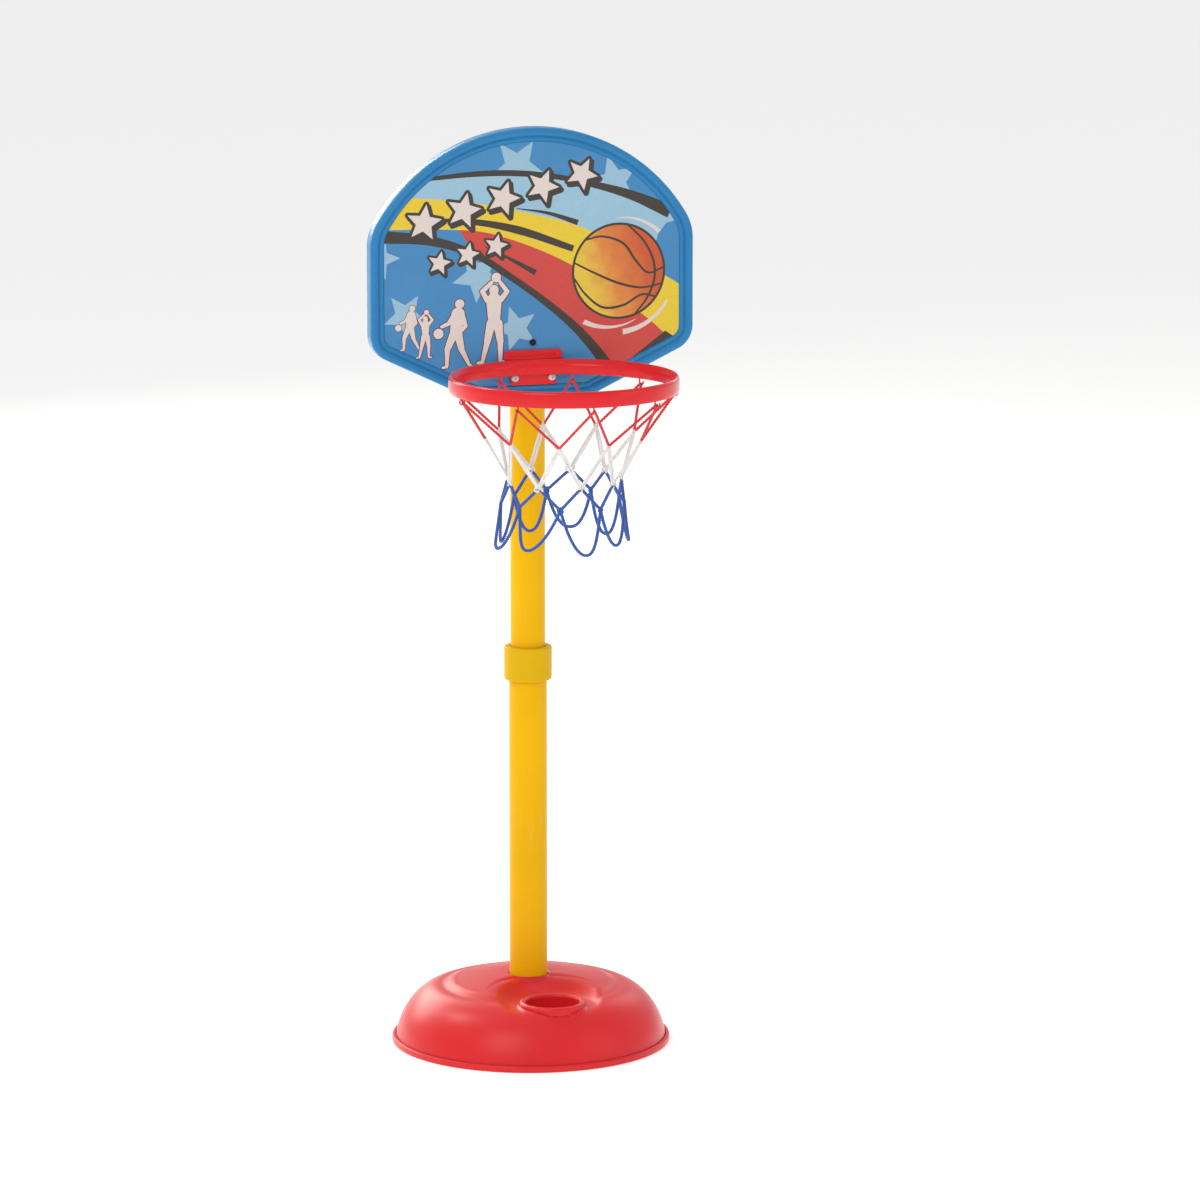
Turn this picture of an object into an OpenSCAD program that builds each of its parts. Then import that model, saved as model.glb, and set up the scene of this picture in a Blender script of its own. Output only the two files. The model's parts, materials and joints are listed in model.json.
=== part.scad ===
// Portable basketball hoop for children: a ballast tank, a two-part pole that
// slides, turns and locks, and a backboard with a bolted rim and a corded net.
// +Z is up, the rim points to -Y, and the origin is on the floor under the
// middle of the tank. All sizes are in millimetres.

/* [Tank] */
// Radius of the tank at its bottom bead
base_r = 174; // [150:1:205]
// Height of the tank at its shoulder
shoulder_h = 71; // [60:1:85]
// Rise of the raised middle above the shoulder
crown_rise = 9; // [6:1:14]
// Radius of the raised middle
crown_r = 112; // [100:1:120]
// Wall of the moulded tank
tank_wall = 3; // [2.5:0.5:4]
// Height of the bottom bead, which is the pan's rim
bead_h = 8; // [6:1:12]
// Distance of the pole behind the middle of the tank
pole_back = 10; // [6:1:16]
// Distance of the filler neck in front of the middle
neck_front = 102; // [95:1:108]
// Outer radius of the filler neck
neck_r = 40; // [34:1:42]
// Height of the filler neck's lip above the shoulder
neck_rise = 1; // [0:1:8]
// Depth of the cup inside the neck
cup_depth = 25; // [20:1:30]
// Radius of the filling hole in the cup's floor
fill_r = 17; // [12:0.5:20]

/* [Pole] */
// Outer diameter of the lower tube
pole_od = 47.4; // [44:0.2:58]
// Wall of both tubes
tube_wall = 1.4; // [1.2:0.1:2]
// Radial gap between the sliding tube and the lower tube
slide_gap = 0.6; // [0.4:0.1:1]
// Top of the lower tube above the floor
pole_top = 488; // [400:1:560]
// Length of the mast inside the lower tube when fully raised
mast_overlap = 83; // [70:1:110]
// Wall of the lock collar outside its thread
collar_wall = 3; // [2.5:0.5:6]
// Height of the lock collar
collar_h = 42.4; // [36:0.2:50]

/* [Backboard] */
// Width of the backboard
board_w = 410; // [340:5:490]
// Height of the backboard
board_h = 335; // [300:5:400]
// Height of the straight sides' top corner above the bottom edge
side_top = 208; // [190:1:230]
// Height of the straight sides' bottom corner above the bottom edge
side_foot = 64; // [50:1:80]
// Width of the flat bottom edge
foot_w = 143; // [120:1:170]
// Depth of the backboard from its bead to its back edge
board_depth = 22; // [20:1:28]
// Panel and flange thickness
board_wall = 3; // [2:0.5:4]
// Height of the raised bead over the panel
bead_rise = 5; // [3:0.5:6]
// Width of the raised bead
bead_w = 11; // [9:1:12]
// Width of the whole stepped border
border_w = 17; // [15:1:18]

/* [Rim] */
// Height of the rim's top above the floor when fully raised
rim_top = 865; // [760:5:940]
// Outer radius of the rim
rim_r = 140; // [120:1:160]
// Height of the rim's channel
rim_h = 20; // [18:1:24]
// Wall of the rim's channel
rim_wall = 2.5; // [2:0.1:3]
// Width of the rim's channel
rim_w = 9; // [8.4:0.2:12]
// Number of net hooks
hooks = 9; // [7:1:12]

/* [Net] */
// Diameter of the red cord
red_d = 2.8; // [2:0.1:3]
// Diameter of the white cord
white_d = 3.4; // [2.4:0.1:4]
// Diameter of the blue cord
blue_d = 3; // [2:0.1:3.6]
// Radius of the net at its first row of knots
row1_r = 95; // [80:1:110]
// Radius of the net at its second row of knots
row2_r = 71; // [62:1:85]
// Radius of the net at its third row of knots
row3_r = 76; // [66:1:90]
// Radius of the net at its bottom loops
loop_r = 80; // [66:1:95]
// Depth of the four rows below the rim's top
row_depths = [76, 127, 154, 203];

/* [Hidden] */
$fn = 96;
eps = 0.01;
// Radial gap round a screw in a clearance hole, and a screw's bite in a pilot hole
hole_gap = 0.1;

// Pole and mast
pole_r = pole_od / 2;
pole_bore = pole_r - tube_wall;
mast_r = pole_bore - slide_gap;
mast_bore = mast_r - tube_wall;
mast_bottom = pole_top - mast_overlap;
plug_neck_r = mast_bore - 5;
bush_h = 12;
bush_r = pole_bore - 0.1;
flange_h = 4;
end_gap = 0.2;
turn_gap = 0.08;
stop_r = mast_r + 0.15;
stop_h = 3;
stop_sink = 0.7;

// Tank
dome_r = base_r - 4.5;
dome_flat_r = crown_r + 5;
crown_h = shoulder_h + crown_rise;
dome_power = 1.8;
pan_t = 3;
pan_foot = 2.5;
pan_floor = pan_foot + pan_t;
shell_z = bead_h - 2;
neck_top = shoulder_h + neck_rise;
cup_floor = neck_top - cup_depth;
cup_r = neck_r - 6.5;
lip_r = 3;
well_gap = 3.2;
well_r = pole_r + well_gap;
scoop_r = neck_r + 12;
scoop_flare = 30;
scoop_z = shoulder_h - 6;
rest_r = 34;
rest_w = 20;
bead_round = 2;
pole_z = pan_floor + 2;
foot_h = 36;
foot_screw_r = 3;
pan_screw_count = 6;
pan_screw_r = 2;
post_r = 5.5;
pan_screw_ring = base_r - 32;
pan_screw_web = 1.6;
pan_screw_len = 12;
sleeve_gap = 0.3;
sleeve_h = 12;
pan_rib_t = 3;
pan_rib_count = 12;
small_head_r = 3.8;
small_head_h = 2.4;
pole_screw_head_r = 7;
pole_screw_head_h = 3.2;
pole_screw_z = 3.5;

// Filler plug
plug_depth = 14;
plug_wall = 3;
plug_flange_w = 5;
plug_flange_t = 3;
plug_grip_t = 4;
plug_grip_h = 8;
ring_z = 8;
ring_h = 3;
ring_t = 1.5;

// Lock collar
collar_z = pole_top + 13 - collar_h;
seat_t = 3;
seat_r = pole_r + seat_t;
collet_h = 8;
collet_t = 3;
nut_gap = 0.3;
collar_r = seat_r + nut_gap + collar_wall;

// Backboard
board_z = rim_top - 50;
half_w = board_w / 2;
arch_rise = board_h - side_top;
arch_r = (half_w * half_w + arch_rise * arch_rise) / (2 * arch_rise);
slope = atan(side_foot / (half_w - foot_w / 2));
foot_round = 24;
side_round = 32;
brow_round = 60;
panel_back = pole_back - mast_r - 0.3;
panel_face = panel_back - board_wall;
board_front = panel_face - bead_rise;
board_back = board_front + board_depth;
sheet_t = 0.3;
sheet_face = panel_face - sheet_t;
sheet_gap = 0.6;
bolt_z = board_z + 70;
clamp_up_z = board_z + 165;
mast_top = board_z + 195;
clamp_h = 26;
clamp_t = 3;
ear_x = mast_r + 12;
ear_t = 4;
clamp_screw_r = 2;
clamp_screw_len = ear_t + 12;
bolt_r = 2.5;
bolt_nut_h = 4;
bolt_len = pole_back + mast_r + clamp_t + bolt_nut_h + 2 - sheet_face;
rib_t = 2;
rib_depth = 10;
boss_r = 5;

// Rim
plate_t = 4;
plate_y = sheet_face - plate_t;
rim_y = plate_y + 1.2 - rim_r;
rim_z = rim_top - rim_h;
tab_w = 73;
tab_rise = 11;
plate_w = 58;
plate_z = board_z + border_w + 0.5;
screw_x = 23.5;
screw_z = rim_z - 3;
screw_r = 2;
head_r = 5;
head_h = 2.6;
hook_wire = 1;
hook_r = rim_r - rim_w + 4.5;
hook_bend = hook_r - (rim_r - rim_w + rim_wall / 2);
hook_z = rim_z - 4;
washer_t = 1;

// Net
cord_sides = 8;
cord_steps = 12;
red_top_z = hook_z - hook_bend + hook_wire + red_d / 2 + 1.2;
first_knot = 90;
first_hook = first_knot + 180 / hooks;

// Points of an arc round c from angle a to angle b
function arc(c, r, a, b, n = 10) =
    [for (i = [0 : n]) let (t = a + (b - a) * i / n) [c[0] + r * cos(t), c[1] + r * sin(t)]];

// Points of a closed outline turned left to right
function mirrored(points) = [for (i = [len(points) - 1 : -1 : 0]) [-points[i][0], points[i][1]]];

// ---- Tank ----

// Height of the dome at radius r, with the wall taken off for the cavity
function dome_z(r, off) =
    let (flat = dome_flat_r - off / 2, t = max(0, min(1, (r - flat) / (dome_r - off - flat))))
    (shoulder_h - off) * pow(1 - pow(t, dome_power), 1 / dome_power);

// Half section of the dome: a soft step up to the raised middle, and a round shoulder
function dome_section(off, z0) =
    let (edge = dome_r - off, flat = dome_flat_r - off / 2,
         step = [for (i = [0 : 8]) [crown_r - 14 + 14 * i / 8 - off / 2,
                                    shoulder_h + (crown_rise - 4) * (1 + cos(180 * i / 8)) / 2 - off]],
         round_part = [for (i = [1 : 28])
             let (r = flat + (edge - flat) * sin(90 * i / 28)) [r, dome_z(r, off)]])
    concat([[0, z0], [0, crown_h - off], [40, crown_h - off], [70, crown_h - 1.4 - off]], step,
           [for (p = round_part) if (p[1] > z0) p], [[edge, z0]]);

module dome(off, z0) {
    rotate_extrude() polygon(dome_section(off, z0));
}

// Bowl that is taken out of the raised middle round the filler neck; its edge runs out flat
module scoop(off) {
    depth = crown_h - scoop_z;
    translate([0, -neck_front, scoop_z - off]) rotate_extrude() polygon(concat([[0, 0]],
        [for (i = [0 : 8]) [scoop_r + off + scoop_flare * i / 8, depth * (1 - cos(180 * i / 8)) / 2]],
        [[scoop_r + off + scoop_flare, depth + off + 10], [0, depth + off + 10]]));
}

module base_shell() {
    color("crimson") difference() {
        union() {
            difference() {
                dome(0, shell_z);
                scoop(0);
            }
            translate([0, -neck_front, cup_floor - tank_wall]) neck_body();
        }
        difference() {
            dome(tank_wall, shell_z - eps);
            scoop(tank_wall);
            translate([0, -neck_front, cup_floor - tank_wall])
                cylinder(r = neck_r, h = cup_depth + tank_wall);
            translate([0, pole_back, 0]) cylinder(r = well_r + tank_wall, h = crown_h);
            screw_bosses();
        }
        translate([0, -neck_front, cup_floor]) cylinder(r = cup_r, h = cup_depth + 1);
        translate([0, -neck_front, cup_floor - tank_wall - 1]) cylinder(r = fill_r, h = tank_wall + 2);
        translate([0, pole_back, shell_z - 1]) cylinder(r = well_r, h = crown_h);
        at_pan_screws() translate([0, 0, shell_z - 1])
            cylinder(r = pan_screw_r - hole_gap, h = pan_screw_len + 2);
    }
}

// The neck's outside, with a rounded lip
module neck_body() {
    h = cup_depth + tank_wall;
    rotate_extrude() polygon(concat([[0, 0], [neck_r, 0]],
        arc([neck_r - lip_r, h - lip_r], lip_r, 0, 90),
        arc([cup_r + lip_r, h - lip_r], lip_r, 90, 180), [[0, h - lip_r]]));
}

module at_pan_screws() {
    for (i = [0 : pan_screw_count - 1]) rotate(360 / pan_screw_count * (i + 0.5))
        translate([pan_screw_ring, 0, 0]) children();
}

// Posts under the dome that the pan's screws bite into
module screw_bosses() {
    at_pan_screws() cylinder(r = post_r, h = shoulder_h);
}

module base_pan() {
    color("firebrick") difference() {
        union() {
            rotate_extrude() polygon(concat(
                [[0, pan_foot], [0, pan_floor], [dome_r + 0.3, pan_floor], [dome_r + 0.3, bead_h]],
                arc([base_r - bead_round, bead_h - bead_round], bead_round, 90, 0, 5),
                arc([base_r - bead_round, bead_round], bead_round, 0, -90, 5),
                [[base_r - rest_w, 0], [base_r - rest_w - 1, pan_foot]]));
            cylinder(r = rest_r, h = pan_floor);
            for (i = [0 : pan_rib_count - 1]) rotate(360 / pan_rib_count * i)
                translate([rest_r - 1, -pan_rib_t / 2, 0.5])
                    cube([base_r - rest_w - rest_r, pan_rib_t, pan_floor - 1]);
            translate([0, pole_back, pan_floor - eps]) difference() {
                cylinder(r = well_r - sleeve_gap, h = sleeve_h);
                translate([0, 0, pole_z - pan_floor + eps]) cylinder(r = pole_r, h = sleeve_h);
            }
        }
        translate([0, pole_back, -1]) cylinder(r = foot_screw_r, h = pole_z + 2);
        translate([0, pole_back, -1]) cylinder(r = pole_screw_head_r + 1, h = pole_screw_z + 1);
        at_pan_screws() {
            translate([0, 0, -1]) cylinder(r = pan_screw_r, h = pan_floor + 2);
            translate([0, 0, -1]) cylinder(r = small_head_r + 0.5, h = 1 + pan_floor - pan_screw_web);
        }
    }
}

// Flat gaskets under the dome's foot, the pole's sleeve and the screw posts
module pan_seal() {
    seal_t = shell_z - pan_floor;
    color("dimgray") translate([0, 0, pan_floor]) {
        tube(dome_r, dome_r - tank_wall, seal_t);
        translate([0, pole_back, 0]) tube(well_r + tank_wall, well_r, seal_t);
        at_pan_screws() tube(post_r, pan_screw_r, seal_t);
    }
}

module pan_screws() {
    color("silver") at_pan_screws() {
        translate([0, 0, pan_floor - pan_screw_web - small_head_h])
            cylinder(r = small_head_r, h = small_head_h);
        translate([0, 0, pan_floor - pan_screw_web - eps])
            cylinder(r = pan_screw_r - hole_gap, h = pan_screw_len);
    }
}

module filler_plug() {
    color("red") translate([0, -neck_front, cup_floor]) {
        difference() {
            union() {
                cylinder(r = fill_r + plug_flange_w, h = plug_flange_t);
                translate([0, 0, -plug_depth]) cylinder(r = fill_r - 0.3, h = plug_depth + eps);
            }
            translate([0, 0, -plug_depth - 1]) cylinder(r = fill_r - plug_wall, h = plug_depth);
            translate([0, 0, -ring_z]) tube(fill_r + 1, fill_r - hole_gap - ring_t, ring_h);
        }
        translate([-fill_r + plug_wall, -plug_grip_t / 2, plug_flange_t - eps])
            cube([2 * (fill_r - plug_wall), plug_grip_t, plug_grip_h]);
    }
}

module plug_seal() {
    color("dimgray") translate([0, -neck_front, cup_floor - ring_z])
        tube(fill_r - hole_gap, fill_r - hole_gap - ring_t, ring_h);
}

// ---- Pole ----

module on_pole(z) {
    translate([0, pole_back, z]) children();
}

module tube(outer, inner, h) {
    difference() {
        cylinder(r = outer, h = h);
        translate([0, 0, -1]) cylinder(r = inner, h = h + 2);
    }
}

module lower_tube() {
    color("gold") on_pole(pole_z) difference() {
        tube(pole_r, pole_bore, pole_top - pole_z);
        translate([0, 0, mast_bottom - pole_z]) cylinder(r = pole_bore + stop_sink, h = stop_h);
    }
}

// Plug in the lower tube's foot, which the pole screw holds to the pan
module pole_foot() {
    color("dimgray") on_pole(pole_z) difference() {
        union() {
            cylinder(r = pole_bore, h = 3);
            difference() {
                cylinder(r = pole_bore, h = foot_h);
                translate([0, 0, 3]) cylinder(r = pole_bore - 3, h = foot_h);
            }
            cylinder(r = 9, h = foot_h - 8);
        }
        translate([0, 0, -1]) cylinder(r = foot_screw_r - hole_gap, h = foot_h - 10);
    }
}

module pole_screw() {
    color("silver") on_pole(0) {
        translate([0, 0, pole_screw_z - pole_screw_head_h])
            cylinder(r = pole_screw_head_r, h = pole_screw_head_h);
        translate([0, 0, pole_screw_z - eps]) cylinder(r = foot_screw_r - hole_gap, h = foot_h - 10);
    }
}

// Spring ring in the lower tube's groove that stops the mast pulling out
module stop_ring() {
    color("gray") on_pole(mast_bottom + end_gap) difference() {
        tube(pole_bore + stop_sink, stop_r, stop_h - 2 * end_gap);
        translate([0, -1.5, -1]) cube([pole_r, 3, stop_h + 2]);
    }
}

// Threaded nose round the top of the lower tube
module collet_seat() {
    color("goldenrod") on_pole(collar_z + 3) tube(seat_r, pole_r, pole_top - collar_z - 3);
}

// Split ring that the lock collar squeezes onto the mast
module collet() {
    color("whitesmoke") on_pole(pole_top) difference() {
        rotate_extrude() polygon([[mast_r + 0.2, 0], [mast_r + 0.2, collet_h],
            [mast_r + collet_t - 1.6, collet_h], [mast_r + collet_t, 2], [mast_r + collet_t, 0]]);
        for (a = [0, 180]) rotate(a) translate([0, -1, -1]) cube([pole_r + 9, 2, collet_h + 2]);
    }
}

module lock_collar() {
    color("gold") on_pole(collar_z) {
        inner = seat_r + nut_gap;
        roof = pole_top - collar_z + collet_h + 0.3;
        bore = mast_r + 0.6;
        cone_z = pole_top - collar_z + 2.3;
        rotate_extrude() polygon(concat(
            [[inner, 0]], arc([collar_r - 3, 3], 3, -90, 0, 8),
            arc([collar_r - 2, collar_h - 2], 2, 0, 90, 6),
            [[bore + 1, collar_h], [bore, collar_h - 1], [bore, roof],
             [mast_r + collet_t - 1.2, roof], [mast_r + collet_t + 0.5, cone_z], [inner, cone_z - 2]]));
    }
}

// ---- Mast ----

module guide_bush() {
    color("whitesmoke") on_pole(mast_bottom - end_gap - bush_h) tube(bush_r, plug_neck_r + turn_gap, bush_h);
}

module mast_plug() {
    color("dimgray") on_pole(mast_bottom) difference() {
        union() {
            translate([0, 0, -eps]) cylinder(r = mast_bore, h = 22);
            translate([0, 0, -bush_h - 2 * end_gap]) cylinder(r = plug_neck_r, h = bush_h + 2 * end_gap);
            translate([0, 0, -bush_h - 2 * end_gap - flange_h]) cylinder(r = mast_r, h = flange_h);
        }
        translate([0, 0, -bush_h - flange_h - 2]) cylinder(r = plug_neck_r - 4, h = bush_h + flange_h + 20);
    }
}

module mast_tube() {
    color("gold") difference() {
        on_pole(mast_bottom) tube(mast_r, mast_bore, mast_top - mast_bottom);
        bolt_hole(bolt_r + hole_gap);
    }
}

module mast_cap() {
    color("goldenrod") on_pole(mast_top) {
        rotate_extrude() polygon(concat([[0, 0], [mast_r, 0]], arc([mast_r - 4, 2], 4, 0, 90, 8), [[0, 6]]));
        translate([0, 0, -14]) tube(mast_bore, mast_bore - 2, 14 + eps);
    }
}

module bolt_hole(r) {
    translate([0, panel_face - 10, bolt_z]) rotate([-90, 0, 0]) cylinder(r = r, h = bolt_len + 20);
}

// ---- Backboard ----

// Outline of the backboard, drawn in by inset all round
function outline(inset) =
    let (foot = [half_w - (foot_round - (foot_round - side_foot) * cos(slope)) / sin(slope), foot_round],
         side = [half_w - side_round, side_foot + side_round * (1 - sin(slope)) / cos(slope)],
         arch = [0, board_h - arch_r],
         brow_x = half_w - brow_round,
         brow = [brow_x, arch[1] + sqrt(pow(arch_r - brow_round, 2) - pow(brow_x, 2))],
         turn = atan2(brow[1] - arch[1], brow[0]),
         right = concat(arc(foot, foot_round - inset, -90, slope - 90, 6),
                        arc(side, side_round - inset, slope - 90, 0, 10),
                        arc(brow, brow_round - inset, 0, turn, 6),
                        arc(arch, arch_r - inset, turn, 90, 24)))
    concat(right, [for (p = mirrored(right)) if (p[0] < -eps) p]);

// Slab with the board's outline, drawn in by inset, from y0 at the front to y1
module slab(inset, y0, y1) {
    translate([0, y1, board_z]) rotate([90, 0, 0]) linear_extrude(y1 - y0) polygon(outline(inset));
}

module border_ring(outer, inner, y0, y1) {
    difference() {
        slab(outer, y0, y1);
        slab(inner, y0 - 1, y1 + 1);
    }
}

module backboard() {
    color("dodgerblue") difference() {
        union() {
            difference() {
                slab(0, board_front + 1, board_back);
                slab(bead_w, board_front, panel_face - 2);
                slab(border_w, board_front, panel_face);
                slab(board_wall, panel_back, board_back + 1);
                border_ring(board_wall, bead_w - board_wall, board_front + board_wall, panel_back + eps);
            }
            border_ring(1.5, bead_w - 1.5, board_front, board_front + 1 + eps);
            intersection() {
                slab(board_wall - eps, panel_back - eps, board_back);
                ribs();
            }
            clamp_bosses();
        }
        on_pole(board_z - 1) cylinder(r = mast_r + 1, h = board_wall + 1.5);
        bolt_hole(bolt_r + hole_gap);
        at_rim_screws(panel_face - 1) cylinder(r = screw_r + hole_gap, h = board_wall + rib_depth + 2);
        at_clamp_screws() translate([0, 0, 1]) cylinder(r = clamp_screw_r, h = clamp_screw_len);
    }
}

// Stiffening ribs behind the panel, clear of the mast and the rim's nuts
module ribs() {
    difference() {
        union() {
            for (i = [-3 : 3]) if (i != 0)
                translate([i * board_w / 8 - rib_t / 2, panel_back - eps, board_z])
                    cube([rib_t, rib_depth, board_h]);
            for (i = [1 : 5])
                translate([-half_w, panel_back - eps, board_z + i * board_h / 6])
                    cube([board_w, rib_depth, rib_t]);
        }
        on_pole(board_z - 1) cylinder(r = mast_r + 1.5, h = board_h);
        translate([-ear_x - boss_r, panel_back - 1, board_z])
            cube([2 * (ear_x + boss_r), rib_depth + 2, screw_z + 12 - board_z]);
    }
}

// Screw places of the two clamps, with +Z towards the panel
module at_clamp_screws() {
    for (z = [bolt_z, clamp_up_z], x = [-ear_x, ear_x])
        translate([x, pole_back + ear_t, z]) rotate([90, 0, 0]) children();
}

module clamp_bosses() {
    difference() {
        at_clamp_screws() translate([0, 0, ear_t]) cylinder(r = boss_r, h = pole_back - panel_back + eps);
        on_pole(board_z) cylinder(r = mast_r + 1, h = board_h);
    }
}

module face_sheet() {
    color("deepskyblue") difference() {
        slab(border_w + sheet_gap, sheet_face, panel_face);
        bolt_hole(bolt_r + hole_gap);
        at_rim_screws(sheet_face - 1) cylinder(r = screw_r + hole_gap, h = 3);
    }
}

// Strap round the back of the mast, with an ear on each side
module mast_clamp(z) {
    h = clamp_h;
    translate([0, 0, z - h / 2]) difference() {
        union() {
            on_pole(0) cylinder(r = mast_r + clamp_t, h = h);
            translate([-ear_x - boss_r - 2, pole_back, 0]) cube([2 * (ear_x + boss_r + 2), ear_t, h]);
        }
        on_pole(-1) cylinder(r = mast_r, h = h + 2);
        translate([-50, pole_back - 60, -1]) cube([100, 60, h + 2]);
        for (x = [-ear_x, ear_x]) translate([x, pole_back - 1, h / 2]) rotate([-90, 0, 0])
            cylinder(r = clamp_screw_r + 0.2, h = ear_t + 2);
    }
}

module mast_clamp_lower() {
    color("royalblue") difference() {
        mast_clamp(bolt_z);
        bolt_hole(bolt_r + hole_gap);
    }
}

module mast_clamp_upper() {
    color("royalblue") mast_clamp(clamp_up_z);
}

module clamp_screws() {
    color("silver") at_clamp_screws() {
        translate([0, 0, -head_h]) cylinder(r = small_head_r, h = head_h);
        translate([0, 0, -eps]) cylinder(r = clamp_screw_r - hole_gap, h = clamp_screw_len);
    }
}

// Black bolt through the panel, the mast and the lower clamp
module mast_bolt() {
    color("black") translate([0, sheet_face, bolt_z]) rotate([-90, 0, 0]) {
        translate([0, 0, -2]) cylinder(r = 4, h = 2);
        translate([0, 0, -eps]) cylinder(r = bolt_r, h = bolt_len);
    }
}

module mast_nut() {
    color("silver") translate([0, pole_back + mast_r + clamp_t, bolt_z]) rotate([-90, 0, 0]) difference() {
        cylinder(r = 4.8, h = bolt_nut_h, $fn = 6);
        translate([0, 0, -1]) cylinder(r = bolt_r, h = bolt_nut_h + 2);
    }
}

// ---- Rim ----

module on_rim(z) {
    translate([0, rim_y, z]) children();
}

// Section of the rim's channel, open below: outer wall, sloping roof, inner wall
function rim_section() =
    let (o = rim_r, i = rim_r - rim_w, w = rim_wall, top = rim_h, knee = rim_h - 8)
    concat([[o - 0.6, 0], [o, 0.8]], arc([o - 1.4, top - 2], 1.4, 0, 90, 5),
           [[o - 3, top - 0.9], [i + 0.8, knee + 1.2], [i, knee], [i, 2.4], [i + 0.6, 2], [i + w - 0.4, 2],
            [i + w, 2.6], [i + w, knee - 1], [o - w, top - 4.4], [o - w, 0.4], [o - w + 0.4, 0]]);

module at_hooks() {
    for (i = [0 : hooks - 1]) on_rim(0) rotate(first_hook + 360 * i / hooks)
        translate([hook_r, 0, 0]) children();
}

// Wire-like hook that opens outwards under the channel
module hook() {
    translate([-hook_bend, 0, hook_z]) cylinder(r = hook_wire, h = rim_z + 6 - hook_z, $fn = 24);
    translate([0, 0, hook_z]) rotate([-90, 0, 0]) rotate_extrude(angle = 180, $fn = 24)
        translate([hook_bend, 0]) circle(r = hook_wire, $fn = 24);
    translate([hook_bend, 0, hook_z]) cylinder(r = hook_wire, h = 1.5, $fn = 24);
}

function plate_outline() =
    let (t = tab_w / 2, p = plate_w / 2, top = rim_top + tab_rise)
    concat(arc([t - 4, top - 4], 4, 0, 90, 6), arc([-t + 4, top - 4], 4, 90, 180, 6),
           [[-t, rim_z + 6], [-p, rim_z]], arc([-p + 5, plate_z + 3], 3, 180, 270, 4),
           arc([p - 5, plate_z + 3], 3, 270, 360, 4), [[p, rim_z], [t, rim_z + 6]]);

module mount_plate() {
    translate([0, sheet_face, 0]) rotate([90, 0, 0]) linear_extrude(plate_t) polygon(plate_outline());
}

// Web that joins the rim's back to the mount plate
module web() {
    translate([0, 0, rim_z + 6]) linear_extrude(rim_h - 9) difference() {
        translate([-tab_w / 2, rim_y + rim_r - rim_w]) square([tab_w, rim_w - 1]);
        translate([0, rim_y]) circle(r = rim_r - rim_w + 1);
    }
}

module rim() {
    color("red") difference() {
        union() {
            difference() {
                on_rim(rim_z) rotate_extrude($fn = 144) polygon(rim_section());
                translate([-rim_r, plate_y + plate_t / 2, rim_z - 1]) cube([2 * rim_r, 20, rim_h + 2]);
            }
            mount_plate();
            web();
            at_hooks() hook();
        }
        translate([-tab_w / 2 + 8, plate_y - 1, rim_top + 3]) cube([tab_w - 16, 2.6, 3]);
        at_rim_screws(plate_y - head_h - 1) cylinder(r = head_r + 0.6, h = head_h + 1);
        at_rim_screws(plate_y - 1) cylinder(r = screw_r + hole_gap, h = plate_t + 2);
    }
}

// The two places where the rim is bolted on, from y towards the back
module at_rim_screws(y) {
    for (x = [-screw_x, screw_x]) translate([x, y, screw_z]) rotate([-90, 0, 0]) children();
}

module rim_screws() {
    color("silver") {
        at_rim_screws(plate_y) cylinder(r = screw_r, h = panel_back - plate_y + washer_t + 7);
        at_rim_screws(plate_y) rotate_extrude()
            polygon(concat([[0, 0]], arc([head_r - head_h, 0], head_h, 0, -90, 6), [[0, -head_h]]));
    }
}

module rim_washers() {
    color("silver") at_rim_screws(panel_back) tube(5.5, screw_r + 0.05, washer_t);
}

module rim_nuts() {
    color("silver") at_rim_screws(panel_back + washer_t) difference() {
        cylinder(r = 4.2, h = 3.6, $fn = 6);
        translate([0, 0, -1]) cylinder(r = screw_r, h = 6);
    }
}

// ---- Net ----

// Rounded zigzag from 0 to 1 and back as u turns through 360
function zigzag(u, k) = (acos(k * cos(u)) - acos(k)) / (180 - 2 * acos(k));

// Closed cord that zigzags between two rings of knots; first is the angle of a top point
function cord_path(r0, z0, r1, z1, first, k) =
    [for (i = [0 : hooks * cord_steps - 1])
        let (u = 360 * i / cord_steps, a = first + 360 * i / (hooks * cord_steps), w = zigzag(u, k),
             r = r0 + (r1 - r0) * w)
        [r * cos(a), rim_y + r * sin(a), z0 + (z1 - z0) * w]];

// Solid round cord swept along a closed path about the net's axis
module cord(path, d) {
    n = len(path);
    rings = [for (i = [0 : n - 1])
        let (p = path[i], t = unit(path[(i + 1) % n] - path[(i + n - 1) % n]),
             out = [p[0], p[1] - rim_y, 0], side = unit(cross(t, out)), face = cross(side, t))
        for (j = [0 : cord_sides - 1]) let (b = 360 * j / cord_sides)
            p + d / 2 * (cos(b) * side + sin(b) * face)];
    faces = [for (i = [0 : n - 1], j = [0 : cord_sides - 1])
        let (i2 = (i + 1) % n, j2 = (j + 1) % cord_sides)
        for (f = [[i2 * cord_sides + j2, i2 * cord_sides + j, i * cord_sides + j],
                  [i * cord_sides + j2, i2 * cord_sides + j2, i * cord_sides + j]]) f];
    polyhedron(rings, faces);
}

function unit(v) = v / norm(v);

function row_z(i) = rim_top - row_depths[i];

module net_red() {
    color("red") cord(cord_path(hook_r, red_top_z, row1_r, row_z(0), first_hook, 0.98), red_d);
}

module net_white() {
    color("white") cord(cord_path(row1_r, row_z(0), row2_r, row_z(1), first_knot, 0.98), white_d);
}

module net_blue() {
    color("blue") cord(cord_path(row2_r, row_z(1), row3_r, row_z(2), first_hook, 0.96), blue_d);
}

module net_loops() {
    color("blue") cord(cord_path(row3_r, row_z(2), loop_r, row_z(3), first_knot, 0.94), blue_d);
}

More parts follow.
